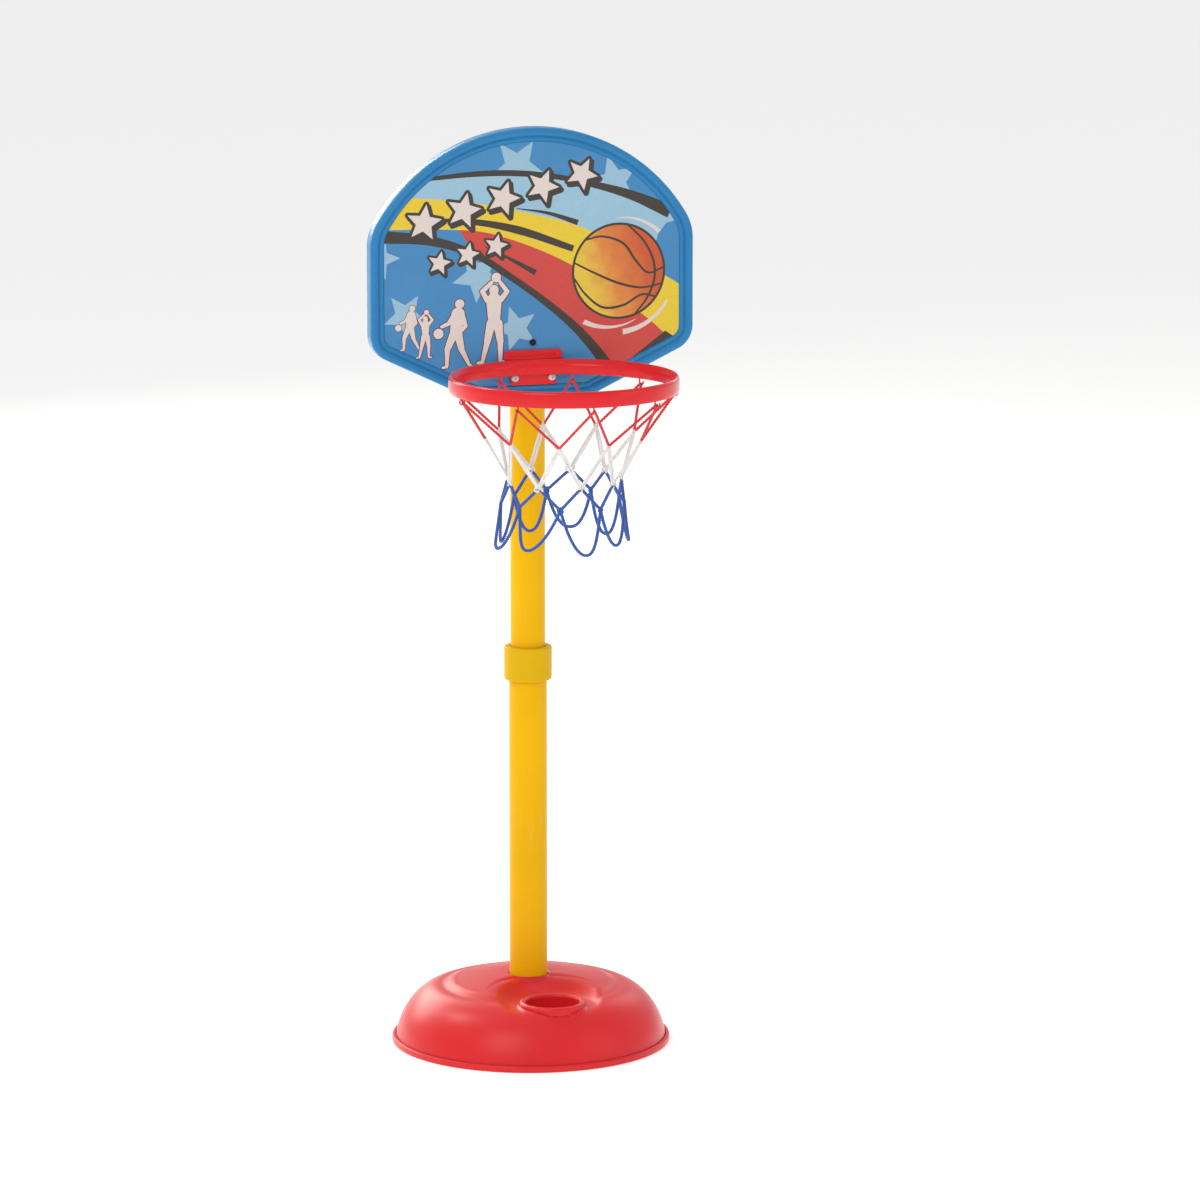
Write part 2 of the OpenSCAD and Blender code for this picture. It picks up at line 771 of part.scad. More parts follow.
base_shell();
base_pan();
pan_seal();
pan_screws();
filler_plug();
plug_seal();
lower_tube();
pole_foot();
pole_screw();
stop_ring();
collet_seat();
collet();
lock_collar();
guide_bush();
mast_plug();
mast_tube();
mast_cap();
backboard();
face_sheet();
mast_clamp_lower();
mast_clamp_upper();
clamp_screws();
mast_bolt();
mast_nut();
rim();
rim_screws();
rim_washers();
rim_nuts();
net_red();
net_white();
net_blue();
net_loops();
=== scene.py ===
"""Looks of the children's basketball hoop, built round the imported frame.

Places that come from the frame are in metres. Shapes are drawn in millimetres, and MM turns them into
metres as they become mesh points.
"""

import json
import math

import bmesh
import bpy
import numpy as np
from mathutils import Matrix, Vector, geometry


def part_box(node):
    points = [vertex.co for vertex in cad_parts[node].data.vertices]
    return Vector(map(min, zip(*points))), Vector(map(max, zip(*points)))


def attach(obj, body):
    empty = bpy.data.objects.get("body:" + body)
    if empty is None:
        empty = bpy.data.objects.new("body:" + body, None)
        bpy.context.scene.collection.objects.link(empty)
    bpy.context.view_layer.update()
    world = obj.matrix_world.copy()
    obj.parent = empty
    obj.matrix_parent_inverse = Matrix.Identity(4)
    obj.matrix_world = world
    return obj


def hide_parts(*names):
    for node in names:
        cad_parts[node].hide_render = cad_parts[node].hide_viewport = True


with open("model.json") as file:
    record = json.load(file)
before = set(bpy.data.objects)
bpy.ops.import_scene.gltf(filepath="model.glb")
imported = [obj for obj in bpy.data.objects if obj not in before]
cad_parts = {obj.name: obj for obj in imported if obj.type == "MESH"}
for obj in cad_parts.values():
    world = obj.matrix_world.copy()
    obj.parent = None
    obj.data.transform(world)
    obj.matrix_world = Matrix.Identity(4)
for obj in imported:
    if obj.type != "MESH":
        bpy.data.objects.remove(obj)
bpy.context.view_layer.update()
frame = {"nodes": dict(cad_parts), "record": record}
NODES = frame["nodes"]
MM = 0.001
TAU = 2 * math.pi
TAB_RISE = 11.0


# ---- Places and sizes, read from the frame ----

def middle(node):
    low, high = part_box(node)
    return (low + high) / 2


def radius_of(node):
    """A round node's radius in millimetres."""
    low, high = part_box(node)
    return (high.x - low.x) / 2 / MM


POLE = middle("lower_tube")
NECK = middle("filler_plug")
RIM_LOW, RIM_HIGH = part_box("rim")
BOARD_LOW, BOARD_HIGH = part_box("backboard")
SHEET_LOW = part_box("face_sheet")[0]
TANK_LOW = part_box("base_shell")[0]
RIM_R = (RIM_HIGH.x - RIM_LOW.x) / 2
RIM_Y = RIM_LOW.y + RIM_R
RIM_TOP = RIM_HIGH.z - TAB_RISE * MM


def new_object(name, data):
    item = bpy.data.objects.new(name, data)
    bpy.context.scene.collection.objects.link(item)
    return item


def hand_over(piece, body, node):
    """Attaches a finished piece to the body that it moves with, and hides the CAD node that it stands for.
    """
    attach(piece, body)
    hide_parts(node)


# ---- Camera, light and floor ----

def make_camera():
    data = bpy.data.cameras.new("camera")
    data.sensor_width = 36
    data.lens = 188.46
    data.clip_end = 60
    camera = new_object("camera", data)
    camera.location = (-2.0225, -7.3932, 1.9874)
    camera.rotation_euler = (math.radians(79.45), 0, math.radians(-15.95))
    bpy.context.scene.camera = camera


WARM = (1.0, 0.94, 0.86)
# strength of the sky as a light, and as the camera sees it behind the floor
SKY_LIGHT, SKY_SEEN = 0.6, 0.94


def softbox(name, place, aim, size, watts, tint=(1, 1, 1)):
    data = bpy.data.lights.new(name, "AREA")
    data.shape = "RECTANGLE"
    data.size, data.size_y = size
    data.energy = watts
    data.color = tint
    light = new_object(name, data)
    light.visible_camera = False
    light.location = place
    light.rotation_euler = (Vector(aim) - Vector(place)).to_track_quat("-Z", "Y").to_euler()


def make_studio():
    softbox("key", (-2.6, -3.0, 3.2), (0, 0, 0.6), (2.2, 2.6), 56)
    softbox("left_high", (-2.4, 1.4, 3.4), (0, 0, 0.6), (0.9, 0.9), 36, WARM)
    softbox("fill", (3.2, -2.6, 1.8), (0, 0, 0.6), (2.0, 2.4), 12)
    softbox("top", (0.2, 0.4, 4.0), (0, 0, 0), (3.0, 3.0), 20)
    softbox("back", (-1.4, 4.0, 2.05), (0, 0, 0.4), (3.2, 1.9), 98, WARM)
    softbox("back_right", (2.6, 2.6, 2.2), (0, 0, 0.5), (1.4, 1.8), 10)
    world = bpy.data.worlds.new("studio")
    world.use_nodes = True
    tree = world.node_tree
    light = tree.nodes["Background"]
    backdrop = tree.nodes.new("ShaderNodeBackground")
    for sky, strength in ((light, SKY_LIGHT), (backdrop, SKY_SEEN)):
        sky.inputs["Color"].default_value = (1, 1, 1, 1)
        sky.inputs["Strength"].default_value = strength
    seen = tree.nodes.new("ShaderNodeLightPath")
    both = tree.nodes.new("ShaderNodeMixShader")
    tree.links.new(seen.outputs["Is Camera Ray"], both.inputs[0])
    tree.links.new(light.outputs[0], both.inputs[1])
    tree.links.new(backdrop.outputs[0], both.inputs[2])
    tree.links.new(both.outputs[0], tree.nodes["World Output"].inputs["Surface"])
    bpy.context.scene.world = world
    bpy.context.scene.view_settings.view_transform = "Standard"


def make_floor():
    mesh = bpy.data.meshes.new("studio_floor")
    far = 30
    mesh.from_pydata([(-far, -far, 0), (far, -far, 0), (far, far, 0), (-far, far, 0)], [], [(0, 1, 2, 3)])
    floor = new_object("studio_floor", mesh)
    paint = Paint("floor_paint", (0.93, 0.93, 0.93), 0.8)
    paint.set("Specular IOR Level", 0.1)
    paint.set("Emission Color", (1, 1, 1, 1))
    paint.set("Emission Strength", 0.3)
    floor.data.materials.append(paint.material)


# ---- Materials ----

class Paint:
    """One material's node tree, with short names for the nodes that it uses."""

    def __init__(self, name, colour, roughness):
        self.material = bpy.data.materials.new(name)
        self.material.use_nodes = True
        self.tree = self.material.node_tree
        self.shader = self.tree.nodes["Principled BSDF"]
        self.shader.inputs["Base Color"].default_value = (*colour, 1)
        self.shader.inputs["Roughness"].default_value = roughness
        self.place = self.add("ShaderNodeTexCoord").outputs["Object"]

    def add(self, kind, links=None, **settings):
        node = self.tree.nodes.new(kind)
        for key, value in settings.items():
            setattr(node, key, value)
        for key, value in (links or {}).items():
            self.feed(node.inputs[key], value)
        return node

    def feed(self, socket, value):
        if isinstance(value, bpy.types.NodeSocket):
            self.tree.links.new(value, socket)
        else:
            socket.default_value = value

    def set(self, name, value):
        self.feed(self.shader.inputs[name], value)

    def stretched(self, scale):
        node = self.add("ShaderNodeMapping", {"Vector": self.place, "Scale": scale})
        return node.outputs["Vector"]

    def noise(self, scale, detail=2.0, roughness=0.5, place=None):
        node = self.add("ShaderNodeTexNoise", {"Vector": place or self.place, "Scale": scale,
                                               "Detail": detail, "Roughness": roughness})
        return node.outputs["Fac"]

    def spread(self, value, low, high, to_low, to_high):
        node = self.add("ShaderNodeMapRange", {"Value": value, "From Min": low, "From Max": high,
                                               "To Min": to_low, "To Max": to_high})
        return node.outputs["Result"]

    def sum(self, a, b, operation="ADD"):
        return self.add("ShaderNodeMath", {0: a, 1: b}, operation=operation).outputs[0]

    def mix(self, share, a, b, blend_type="MIX"):
        node = self.add("ShaderNodeMix", data_type="RGBA", blend_type=blend_type)
        self.feed(node.inputs["Factor"], share)
        self.feed(node.inputs["A"], a if isinstance(a, bpy.types.NodeSocket) else (*a, 1))
        self.feed(node.inputs["B"], b if isinstance(b, bpy.types.NodeSocket) else (*b, 1))
        return node.outputs["Result"]

    def bump(self, height, depth, normal=None):
        links = {"Height": height, "Distance": depth, "Strength": 1.0}
        if normal is not None:
            links["Normal"] = normal
        return self.add("ShaderNodeBump", links).outputs["Normal"]

    def edges(self, low, high):
        """0 in hollows and on flats to 1 on edges, between two values of pointiness."""
        sharp = self.add("ShaderNodeNewGeometry").outputs["Pointiness"]
        return self.spread(sharp, low, high, 0, 1)

    def rounded_edges(self, radius_mm):
        return self.add("ShaderNodeBevel", {"Radius": radius_mm * MM}, samples=6).outputs["Normal"]

    def film(self, shine, coat, roughness):
        """The shine of the material itself, and of the clear film over it."""
        self.set("Specular IOR Level", shine)
        self.set("Coat Weight", coat)
        self.set("Coat Roughness", roughness)


def shade(colour, factor):
    return tuple(min(1, c * factor) for c in colour)


def moulded(name, colour, roughness=0.35, grain_mm=0.7, grain_depth_mm=0.02, rounding_mm=0.5,
            coat=0.0, wear=0.25, glow=0.03, shine=0.2, lay=(1, 1, 7), film=0.28, film_ior=1.25):
    """Injection or blow moulded plastic: fine grain, flow marks, faint scuffs and rubbed edges."""
    p = Paint(name, colour, roughness)
    cloud = p.noise(6, 3)
    fleck = p.noise(140, 4, 0.6)
    base = p.mix(p.spread(cloud, 0.3, 0.7, 0, 1), shade(colour, 0.93), shade(colour, 1.06))
    base = p.mix(p.spread(fleck, 0.55, 0.8, 0, 0.14), base, shade(colour, 1.25))
    scratch = p.noise(22, 5, 0.65, p.stretched(lay))
    rub = p.sum(p.spread(scratch, 0.58, 0.72, 0, 1), p.edges(0.52, 0.6), "MULTIPLY")
    pale = tuple(0.55 * c + 0.45 * 0.8 for c in colour)
    base = p.mix(p.sum(rub, wear, "MULTIPLY"), base, pale)
    p.set("Base Color", base)
    p.set("Roughness", p.spread(p.sum(cloud, fleck), 0.7, 1.3, roughness - 0.05, roughness + 0.07))
    waves = p.bump(p.noise(18, 2), 0.12 * MM, p.rounded_edges(rounding_mm))
    p.set("Normal", p.bump(p.noise(1000 / grain_mm, 2), grain_depth_mm * MM, waves))
    p.set("Subsurface Weight", glow)
    p.set("Subsurface Radius", (0.004, 0.0015, 0.001))
    p.film(shine, coat, film)
    p.set("Coat IOR", film_ior)
    return p.material


def metal(name, colour, roughness):
    """Zinc plated or blackened steel with fine turning marks."""
    p = Paint(name, colour, roughness)
    p.set("Metallic", 1.0)
    mark = p.noise(900, 3, 0.6, p.stretched((1, 1, 12)))
    tone = p.noise(120, 3)
    p.set("Base Color", p.mix(p.spread(tone, 0.3, 0.7, 0, 1), shade(colour, 0.8), shade(colour, 1.12)))
    p.set("Roughness", p.spread(mark, 0.3, 0.7, roughness - 0.08, roughness + 0.14))
    p.set("Normal", p.bump(mark, 0.015 * MM, p.rounded_edges(0.25)))
    return p.material


def rubber(name, colour):
    """Matt rubber with a dusty bloom."""
    p = Paint(name, colour, 0.8)
    dust = p.noise(160, 4, 0.6)
    p.set("Base Color", p.mix(p.spread(dust, 0.4, 0.8, 0, 0.5), colour, (0.16, 0.15, 0.14)))
    p.set("Normal", p.bump(p.noise(1800, 2), 0.03 * MM))
    return p.material


def braid(name, colour, dark):
    """Twisted polyester cord: pale fibres on the crowns, and painted shade, a darker colour, in the hollows
    between the plies.
    """
    p = Paint(name, colour, 0.75)
    fibre = p.noise(2600, 3, 0.7)
    tone = p.noise(90, 3)
    # painted shade: the darker colour fills the hollows between the plies, where pointiness is low
    base = p.mix(p.edges(0.46, 0.54), dark, colour)
    base = p.mix(p.spread(fibre, 0.45, 0.75, 0, 0.35), base, shade(colour, 1.35))
    p.set("Base Color", p.mix(p.spread(tone, 0.35, 0.7, 0.25, 0), base, dark))
    p.set("Roughness", p.spread(fibre, 0.3, 0.7, 0.6, 0.85))
    p.set("Sheen Weight", 0.25)
    p.set("Sheen Roughness", 0.5)
    p.set("Normal", p.bump(fibre, 0.12 * MM))
    return p.material


# shine, coat and coat roughness of the printed sheet, and the roughness of its inks
INK_FILM, INK_ROUGH = (0.2, 0.08, 0.15), 0.32


def ink(name, colour, second=None):
    """One printed colour on the face sheet: a faint screen mottle under a thin clear film."""
    p = Paint(name, colour, INK_ROUGH)
    mottle = p.noise(420, 4, 0.7)
    cloud = p.noise(14, 3)
    base = p.mix(p.spread(mottle, 0.3, 0.7, 0, 1), shade(colour, 0.94), shade(colour, 1.05))
    base = p.mix(p.spread(cloud, 0.35, 0.65, 0, 0.25), base, second or shade(colour, 0.88))
    p.set("Base Color", base)
    p.set("Roughness", p.spread(cloud, 0.3, 0.7, INK_ROUGH - 0.05, INK_ROUGH + 0.06))
    p.set("Normal", p.bump(p.noise(60, 2), 0.02 * MM))
    p.film(*INK_FILM)
    return p.material


def ball_ink(centre, radius):
    """The printed ball: yellow at the lower left to orange red at the upper right."""
    p = Paint("ink_ball", (0.85, 0.3, 0.05), INK_ROUGH)
    split = p.add("ShaderNodeSeparateXYZ", {"Vector": p.place})
    right = p.sum(split.outputs["X"], centre[0], "SUBTRACT")
    above = p.sum(split.outputs["Z"], centre[1], "SUBTRACT")
    slant = p.sum(right, p.sum(above, 0.35, "MULTIPLY"))
    slant = p.sum(slant, p.spread(p.noise(60, 3), 0.3, 0.7, -0.15 * radius, 0.15 * radius))
    share = p.spread(slant, -0.75 * radius, 0.7 * radius, 0, 1)
    ramp = p.add("ShaderNodeValToRGB", {"Fac": share})
    stops = ramp.color_ramp.elements
    stops[0].color = (0.74, 0.54, 0.07, 1)
    stops[1].color = (0.56, 0.10, 0.04, 1)
    stops.new(0.45).color = (0.68, 0.24, 0.06, 1)
    mottle = p.noise(900, 2, 0.6)
    fleck = p.spread(mottle, 0.35, 0.65, 0, 0.18)
    p.set("Base Color", p.mix(fleck, ramp.outputs["Color"], (0.5, 0.1, 0.02)))
    p.film(*INK_FILM)
    return p.material


RED = (0.68, 0.013, 0.018)
# colour, roughness, and the size and depth in millimetres of the grain and the rounding of the edges
MOULDED = {
    "tank_red": (RED, 0.5, 1.1, 0.05, 0.6),
    "plug_red": (shade(RED, 0.8), 0.45, 0.9, 0.03, 0.4),
    "rim_red": ((0.71, 0.012, 0.018), 0.3, 0.8, 0.012, 0.5),
    "pole_yellow": ((0.82, 0.445, 0.001), 0.36, 1.2, 0.012, 0.3),
    "collar_yellow": ((0.70, 0.42, 0.002), 0.38, 1.0, 0.014, 0.5),
    "board_blue": ((0.022, 0.205, 0.455), 0.38, 0.9, 0.02, 0.6),
    "dark_plastic": ((0.05, 0.05, 0.055), 0.5, 0.8, 0.02, 0.4),
    "white_plastic": ((0.78, 0.78, 0.75), 0.4, 0.8, 0.015, 0.3)}
# how the shine, the film, the wear and the lay of the marks differ from plain moulded plastic
MOULDED_MORE = {
    "tank_red": dict(coat=1.0, shine=0.1, film=0.34, film_ior=1.32),
    "rim_red": dict(coat=1.0, shine=0.12, film=0.18, film_ior=1.3),
    "pole_yellow": dict(wear=0.1, shine=0.1, lay=(9, 9, 0.7), glow=0.0),
    "collar_yellow": dict(shine=0.12),
    "board_blue": dict(coat=0.5)}
METALS = {"zinc_steel": ((0.66, 0.65, 0.62), 0.34), "black_steel": ((0.03, 0.03, 0.032), 0.42)}
# each cord's colour on the strands, and the darker colour that is painted as shade between them and also
# clouds the cord at random
BRAIDS = {
    "cord_red": ((0.76, 0.03, 0.035), (0.3, 0.008, 0.01)),
    "cord_white": ((0.88, 0.86, 0.84), (0.62, 0.58, 0.56)),
    "cord_blue": ((0.034, 0.112, 0.44), (0.006, 0.016, 0.09))}
# each ink's colour, and a second one that clouds it
INKS = {
    "ink_blue": ((0.062, 0.232, 0.475), (0.08, 0.295, 0.51)),
    "ink_star": ((0.305, 0.491, 0.624),),
    "ink_pale": ((0.31, 0.51, 0.64),),
    "ink_yellow": ((0.745, 0.552, 0.047), (0.78, 0.5, 0.03)),
    "ink_red": ((0.584, 0.073, 0.062),),
    "ink_brown": ((0.061, 0.053, 0.045),),
    "ink_maroon": ((0.15, 0.03, 0.03),),
    "ink_cream": ((0.708, 0.617, 0.578),)}


def make_finishes():
    finishes = {name: moulded(name, *look, **MOULDED_MORE.get(name, {})) for name, look in MOULDED.items()}
    finishes.update({name: metal(name, *look) for name, look in METALS.items()})
    finishes["seal_rubber"] = rubber("seal_rubber", (0.03, 0.03, 0.03))
    finishes.update({name: braid(name, *look) for name, look in BRAIDS.items()})
    finishes.update({name: ink(name, *look) for name, look in INKS.items()})
    finishes["ink_ball"] = ball_ink((BALL[0] * MM, BOARD_LOW.z + BALL[1] * MM), BALL_R * MM)
    return finishes


def paint_cad_nodes(finishes):
    """Gives each CAD node the finish that the record names for it."""
    for part in frame["record"]["subparts"]:
        node = NODES[part["node"]]
        finish = finishes.get(part["material_slot"])
        if finish is not None:
            node.data.materials.clear()
            node.data.materials.append(finish)


# ---- Mesh helpers ----

def add_piece(name, verts, faces, material, smooth=True):
    mesh = bpy.data.meshes.new(name)
    mesh.from_pydata([tuple(v) for v in verts], [], faces)
    mesh.materials.append(material)
    mesh.validate()
    if smooth:
        mesh.shade_smooth()
    return new_object(name, mesh)


def prism_faces(count):
    """The sides and both ends between two copies of one outline."""
    sides = [(i, (i + 1) % count, count + (i + 1) % count, count + i) for i in range(count)]
    return sides + [tuple(range(count))[::-1], tuple(range(count, 2 * count))]


def ring_faces(rings, around, closed=False):
    """Quads between neighbouring rings of the same number of points."""
    faces = []
    last = rings if closed else rings - 1
    for i in range(last):
        for j in range(around):
            a, b = i * around + j, i * around + (j + 1) % around
            c, d = ((i + 1) % rings) * around + (j + 1) % around, ((i + 1) % rings) * around + j
            faces.append((a, b, c, d))
    return faces


def arc(centre, radius, start, end, steps):
    """Points on an arc, by degrees."""
    return [(centre[0] + radius * math.cos(math.radians(start + (end - start) * i / steps)),
             centre[1] + radius * math.sin(math.radians(start + (end - start) * i / steps)))
            for i in range(steps + 1)]


def turned_right(piece):
    """Recalculates the normals of a closed mesh so that they point outwards."""
    work = bmesh.new()
    work.from_mesh(piece.data)
    bmesh.ops.remove_doubles(work, verts=work.verts, dist=1e-7)
    bmesh.ops.recalc_face_normals(work, faces=work.faces)
    work.to_mesh(piece.data)
    work.free()
    return piece


def joined(name, pieces):
    """One mesh from several, keeping their materials."""
    with bpy.context.temp_override(active_object=pieces[0], selected_editable_objects=pieces):
        bpy.ops.object.join()
    pieces[0].name = name
    pieces[0].data.name = name
    return pieces[0]


def baked(piece):
    """The piece with its modifiers turned into plain mesh."""
    graph = bpy.context.evaluated_depsgraph_get()
    mesh = bpy.data.meshes.new_from_object(piece.evaluated_get(graph))
    piece.modifiers.clear()
    piece.data = mesh
    mesh.name = piece.name
    return piece


def shaded(piece, sharp_from):
    """Smooth shading, apart from edges that turn by more than some degrees."""
    piece.data.shade_smooth()
    piece.data.set_sharp_from_angle(angle=math.radians(sharp_from))
    return piece


# ---- Tank ----

def smoothstep(t):
    t = max(0.0, min(1.0, t))
    return t * t * (3 - 2 * t)


def lower_of(a, b, width):
    """The lower of two heights, rounded where they meet."""
    h = max(0.0, min(1.0, 0.5 + 0.5 * (b - a) / width))
    return b * (1 - h) + a * h - width * h * (1 - h)


def tank_profile():
    """Radius and height in millimetres, from inside the pole's well out to the foot."""
    well_r, mouth, flat_r, step_in, step_out, edge_r = 26.9, 24.5, 38, 93, 114.0, 169.5
    shoulder, crown, fall, fall_run = 71.0, 83.0, 7, 62
    foot = TANK_LOW.z / MM
    rows = [(well_r, 25), (well_r, 50), (well_r, 72), (well_r - 0.6, 75), (mouth + 0.3, 77), (mouth, 78.5)]
    rows += [(mouth + 2.5 - x, z) for x, z in
             [(2.5 * math.cos(math.radians(a)), crown - 2.5 + 2.5 * math.sin(math.radians(a)))
              for a in (0, 20, 40, 60, 80)]]
    rows += [(r, crown) for r in np.linspace(mouth + 3.5, flat_r, 6)]
    rows += [(r, crown - fall * ((r - flat_r) / fall_run) ** 1.5)
             for r in np.linspace(flat_r + 2, step_in, 28)]
    top = crown - fall * ((step_in - flat_r) / fall_run) ** 1.5
    rows += [(step_in + (step_out - step_in) * t,
              shoulder + (top - shoulder) * (1 + math.cos(math.pi * t)) / 2)
             for t in np.linspace(0.06, 1, 16)]
    for t in np.linspace(0.02, 1, 46):
        share = math.sin(t * math.pi / 2)
        rows.append((step_out + (edge_r - step_out) * share, shoulder * (1 - share ** 1.8) ** (1 / 1.8)))
    return [(r, z) for r, z in rows if z > foot] + [(edge_r, foot)]


def tank_height(x, y, z):
    """The moulded surface: the bowl round the neck, and the fillet at the neck's foot."""
    floor, wide, neck_r = 65.0, 50.0, 39.5
    dx, dy = x - NECK.x / MM, y - NECK.y / MM
    near = math.hypot(dx, dy)
    reach = math.hypot(dx, dy / 1.16 if dy > 0 else dy)
    t = max(0.0, (reach - wide) / 34)
    bowl = floor + 16 * (1 - math.cos(math.pi * min(1, t))) / 2 + max(0.0, t - 1) * 30
    z = lower_of(z, bowl, 5)
    if near < neck_r + 6:
        t = max(0.0, (near - neck_r) / 6)
        z += 4.5 * (1 - t) ** 2.4
    if near < neck_r - 0.5:
        z = z + (43.5 - z) * smoothstep((neck_r - 0.5 - near) / 3)
    return z


def make_tank(material):
    around = 360
    rows = tank_profile()
    verts = []
    for r, z in rows:
        shift = POLE.y / MM * (1 - smoothstep((r - 30) / 65))
        for j in range(around):
            a = TAU * j / around
            x, y = r * math.cos(a), r * math.sin(a) + shift
            verts.append((x * MM, y * MM, (z if r < 27 else tank_height(x, y, z)) * MM))
    faces = [f[::-1] for f in ring_faces(len(rows), around)]
    dome = add_piece("tank_dome", verts, faces, material)
    wall = dome.modifiers.new("wall", "SOLIDIFY")
    wall.thickness = 2.6 * MM
    wall.offset = -1
    dome = baked(dome)
    neck = make_neck(material)
    hand_over(joined("tank_shell", [dome, neck]), "base", "base_shell")


def make_neck(material):
    """The filler neck: a rolled lip, a cup and its floor, as one closed turned ring."""
    around = 120
    lip, wall_out, cup, hole = 73.0, 39.6, 33.5, 17.0
    roll = arc((37.4, lip - 3.8), 3.9, -15, 180, 16)
    section = [(wall_out, 44), (wall_out, 60), (wall_out + 0.3, 66)] + roll
    section += [(cup, 66), (cup, 50)] + arc((cup - 2.5, 49.5), 2.5, 0, -90, 5)
    section += [(hole + 0.8, 47), (hole, 46.2), (hole, 44)]
    verts = []
    for r, z in section:
        for j in range(around):
            a = TAU * j / around
            verts.append((NECK.x + r * MM * math.cos(a), NECK.y + r * MM * math.sin(a), z * MM))
    neck = add_piece("tank_neck", verts, ring_faces(len(section), around, closed=True), material)
    return turned_right(neck)


# ---- Geometry Nodes ----

class Tree:
    """A geometry node tree with named inputs."""

    def __init__(self, name, inputs):
        self.tree = bpy.data.node_groups.new(name, "GeometryNodeTree")
        face = self.tree.interface
        face.new_socket("Geometry", in_out="INPUT", socket_type="NodeSocketGeometry")
        self.sockets = {}
        for label, (kind, value) in inputs.items():
            socket = face.new_socket(label, in_out="INPUT", socket_type=kind)
            if value is not None:
                socket.default_value = value
            self.sockets[label] = socket.identifier
        face.new_socket("Geometry", in_out="OUTPUT", socket_type="NodeSocketGeometry")
        self.given = self.tree.nodes.new("NodeGroupInput")
        self.result = self.tree.nodes.new("NodeGroupOutput")

    def add(self, kind, links=None, **settings):
        node = self.tree.nodes.new(kind)
        for key, value in settings.items():
            setattr(node, key, value)
        for key, value in (links or {}).items():
            if isinstance(value, bpy.types.NodeSocket):
                self.tree.links.new(value, node.inputs[key])
            else:
                node.inputs[key].default_value = value
        return node

    def ask(self, label):
        return self.given.outputs[label]

    def math(self, operation, a, b=0.0):
        return self.add("ShaderNodeMath", {0: a, 1: b}, operation=operation).outputs[0]

    def attribute(self, name, kind="FLOAT_VECTOR"):
        return self.add("GeometryNodeInputNamedAttribute", {"Name": name}, data_type=kind).outputs[0]

    def end(self, geometry, material):
        real = self.add("GeometryNodeRealizeInstances", {"Geometry": geometry}).outputs[0]
        painted = self.add("GeometryNodeSetMaterial", {"Geometry": real, "Material": material})
        self.tree.links.new(painted.outputs[0], self.result.inputs[0])
        return self

    def run(self, piece, values):
        """Runs the tree on a piece and leaves plain mesh."""
        modifier = piece.modifiers.new(self.tree.name, "NODES")
        modifier.node_group = self.tree
        for label, value in values.items():
            modifier[self.sockets[label]] = value
        return baked(piece)


def rope_tree():
    """Sweeps a twisted, lobed section along each chain of edges."""
    t = Tree("rope", {"Radius": ("NodeSocketFloat", 0.0015), "Plies": ("NodeSocketInt", 3),
                      "Groove": ("NodeSocketFloat", 0.14), "Lay length": ("NodeSocketFloat", 0.012),
                      "Step": ("NodeSocketFloat", 0.0015), "Sides": ("NodeSocketInt", 12),
                      "Material": ("NodeSocketMaterial", None)})
    curve = t.add("GeometryNodeMeshToCurve", {"Mesh": t.ask("Geometry")}).outputs[0]
    fine = t.add("GeometryNodeResampleCurve", {"Curve": curve}, mode="LENGTH")
    t.tree.links.new(t.ask("Step"), fine.inputs["Length"])
    run = t.add("GeometryNodeSplineParameter").outputs["Length"]
    turn = t.math("MULTIPLY", t.math("DIVIDE", run, t.ask("Lay length")), TAU)
    laid = t.add("GeometryNodeSetCurveTilt", {"Curve": fine.outputs[0], "Tilt": turn}).outputs[0]
    circle = t.add("GeometryNodeCurvePrimitiveCircle", {"Resolution": t.ask("Sides"), "Radius": 1.0})
    spot = t.add("GeometryNodeInputPosition").outputs[0]
    split = t.add("ShaderNodeSeparateXYZ", {"Vector": spot})
    angle = t.math("ARCTAN2", split.outputs["Y"], split.outputs["X"])
    lobes = t.math("COSINE", t.math("MULTIPLY", angle, t.ask("Plies")))
    dip = t.math("MULTIPLY", t.math("SUBTRACT", lobes, 1.0), t.ask("Groove"))
    size = t.math("MULTIPLY", t.math("ADD", dip, 1.0), t.ask("Radius"))
    scaled = t.add("ShaderNodeVectorMath", {0: spot, "Scale": size}, operation="SCALE").outputs[0]
    section = t.add("GeometryNodeSetPosition", {"Geometry": circle.outputs[0], "Position": scaled})
    swept = t.add("GeometryNodeCurveToMesh", {"Curve": laid, "Profile Curve": section.outputs[0],
                                              "Fill Caps": True}).outputs[0]
    smooth = t.add("GeometryNodeSetShadeSmooth", {"Geometry": swept}).outputs[0]
    return t.end(smooth, t.ask("Material"))


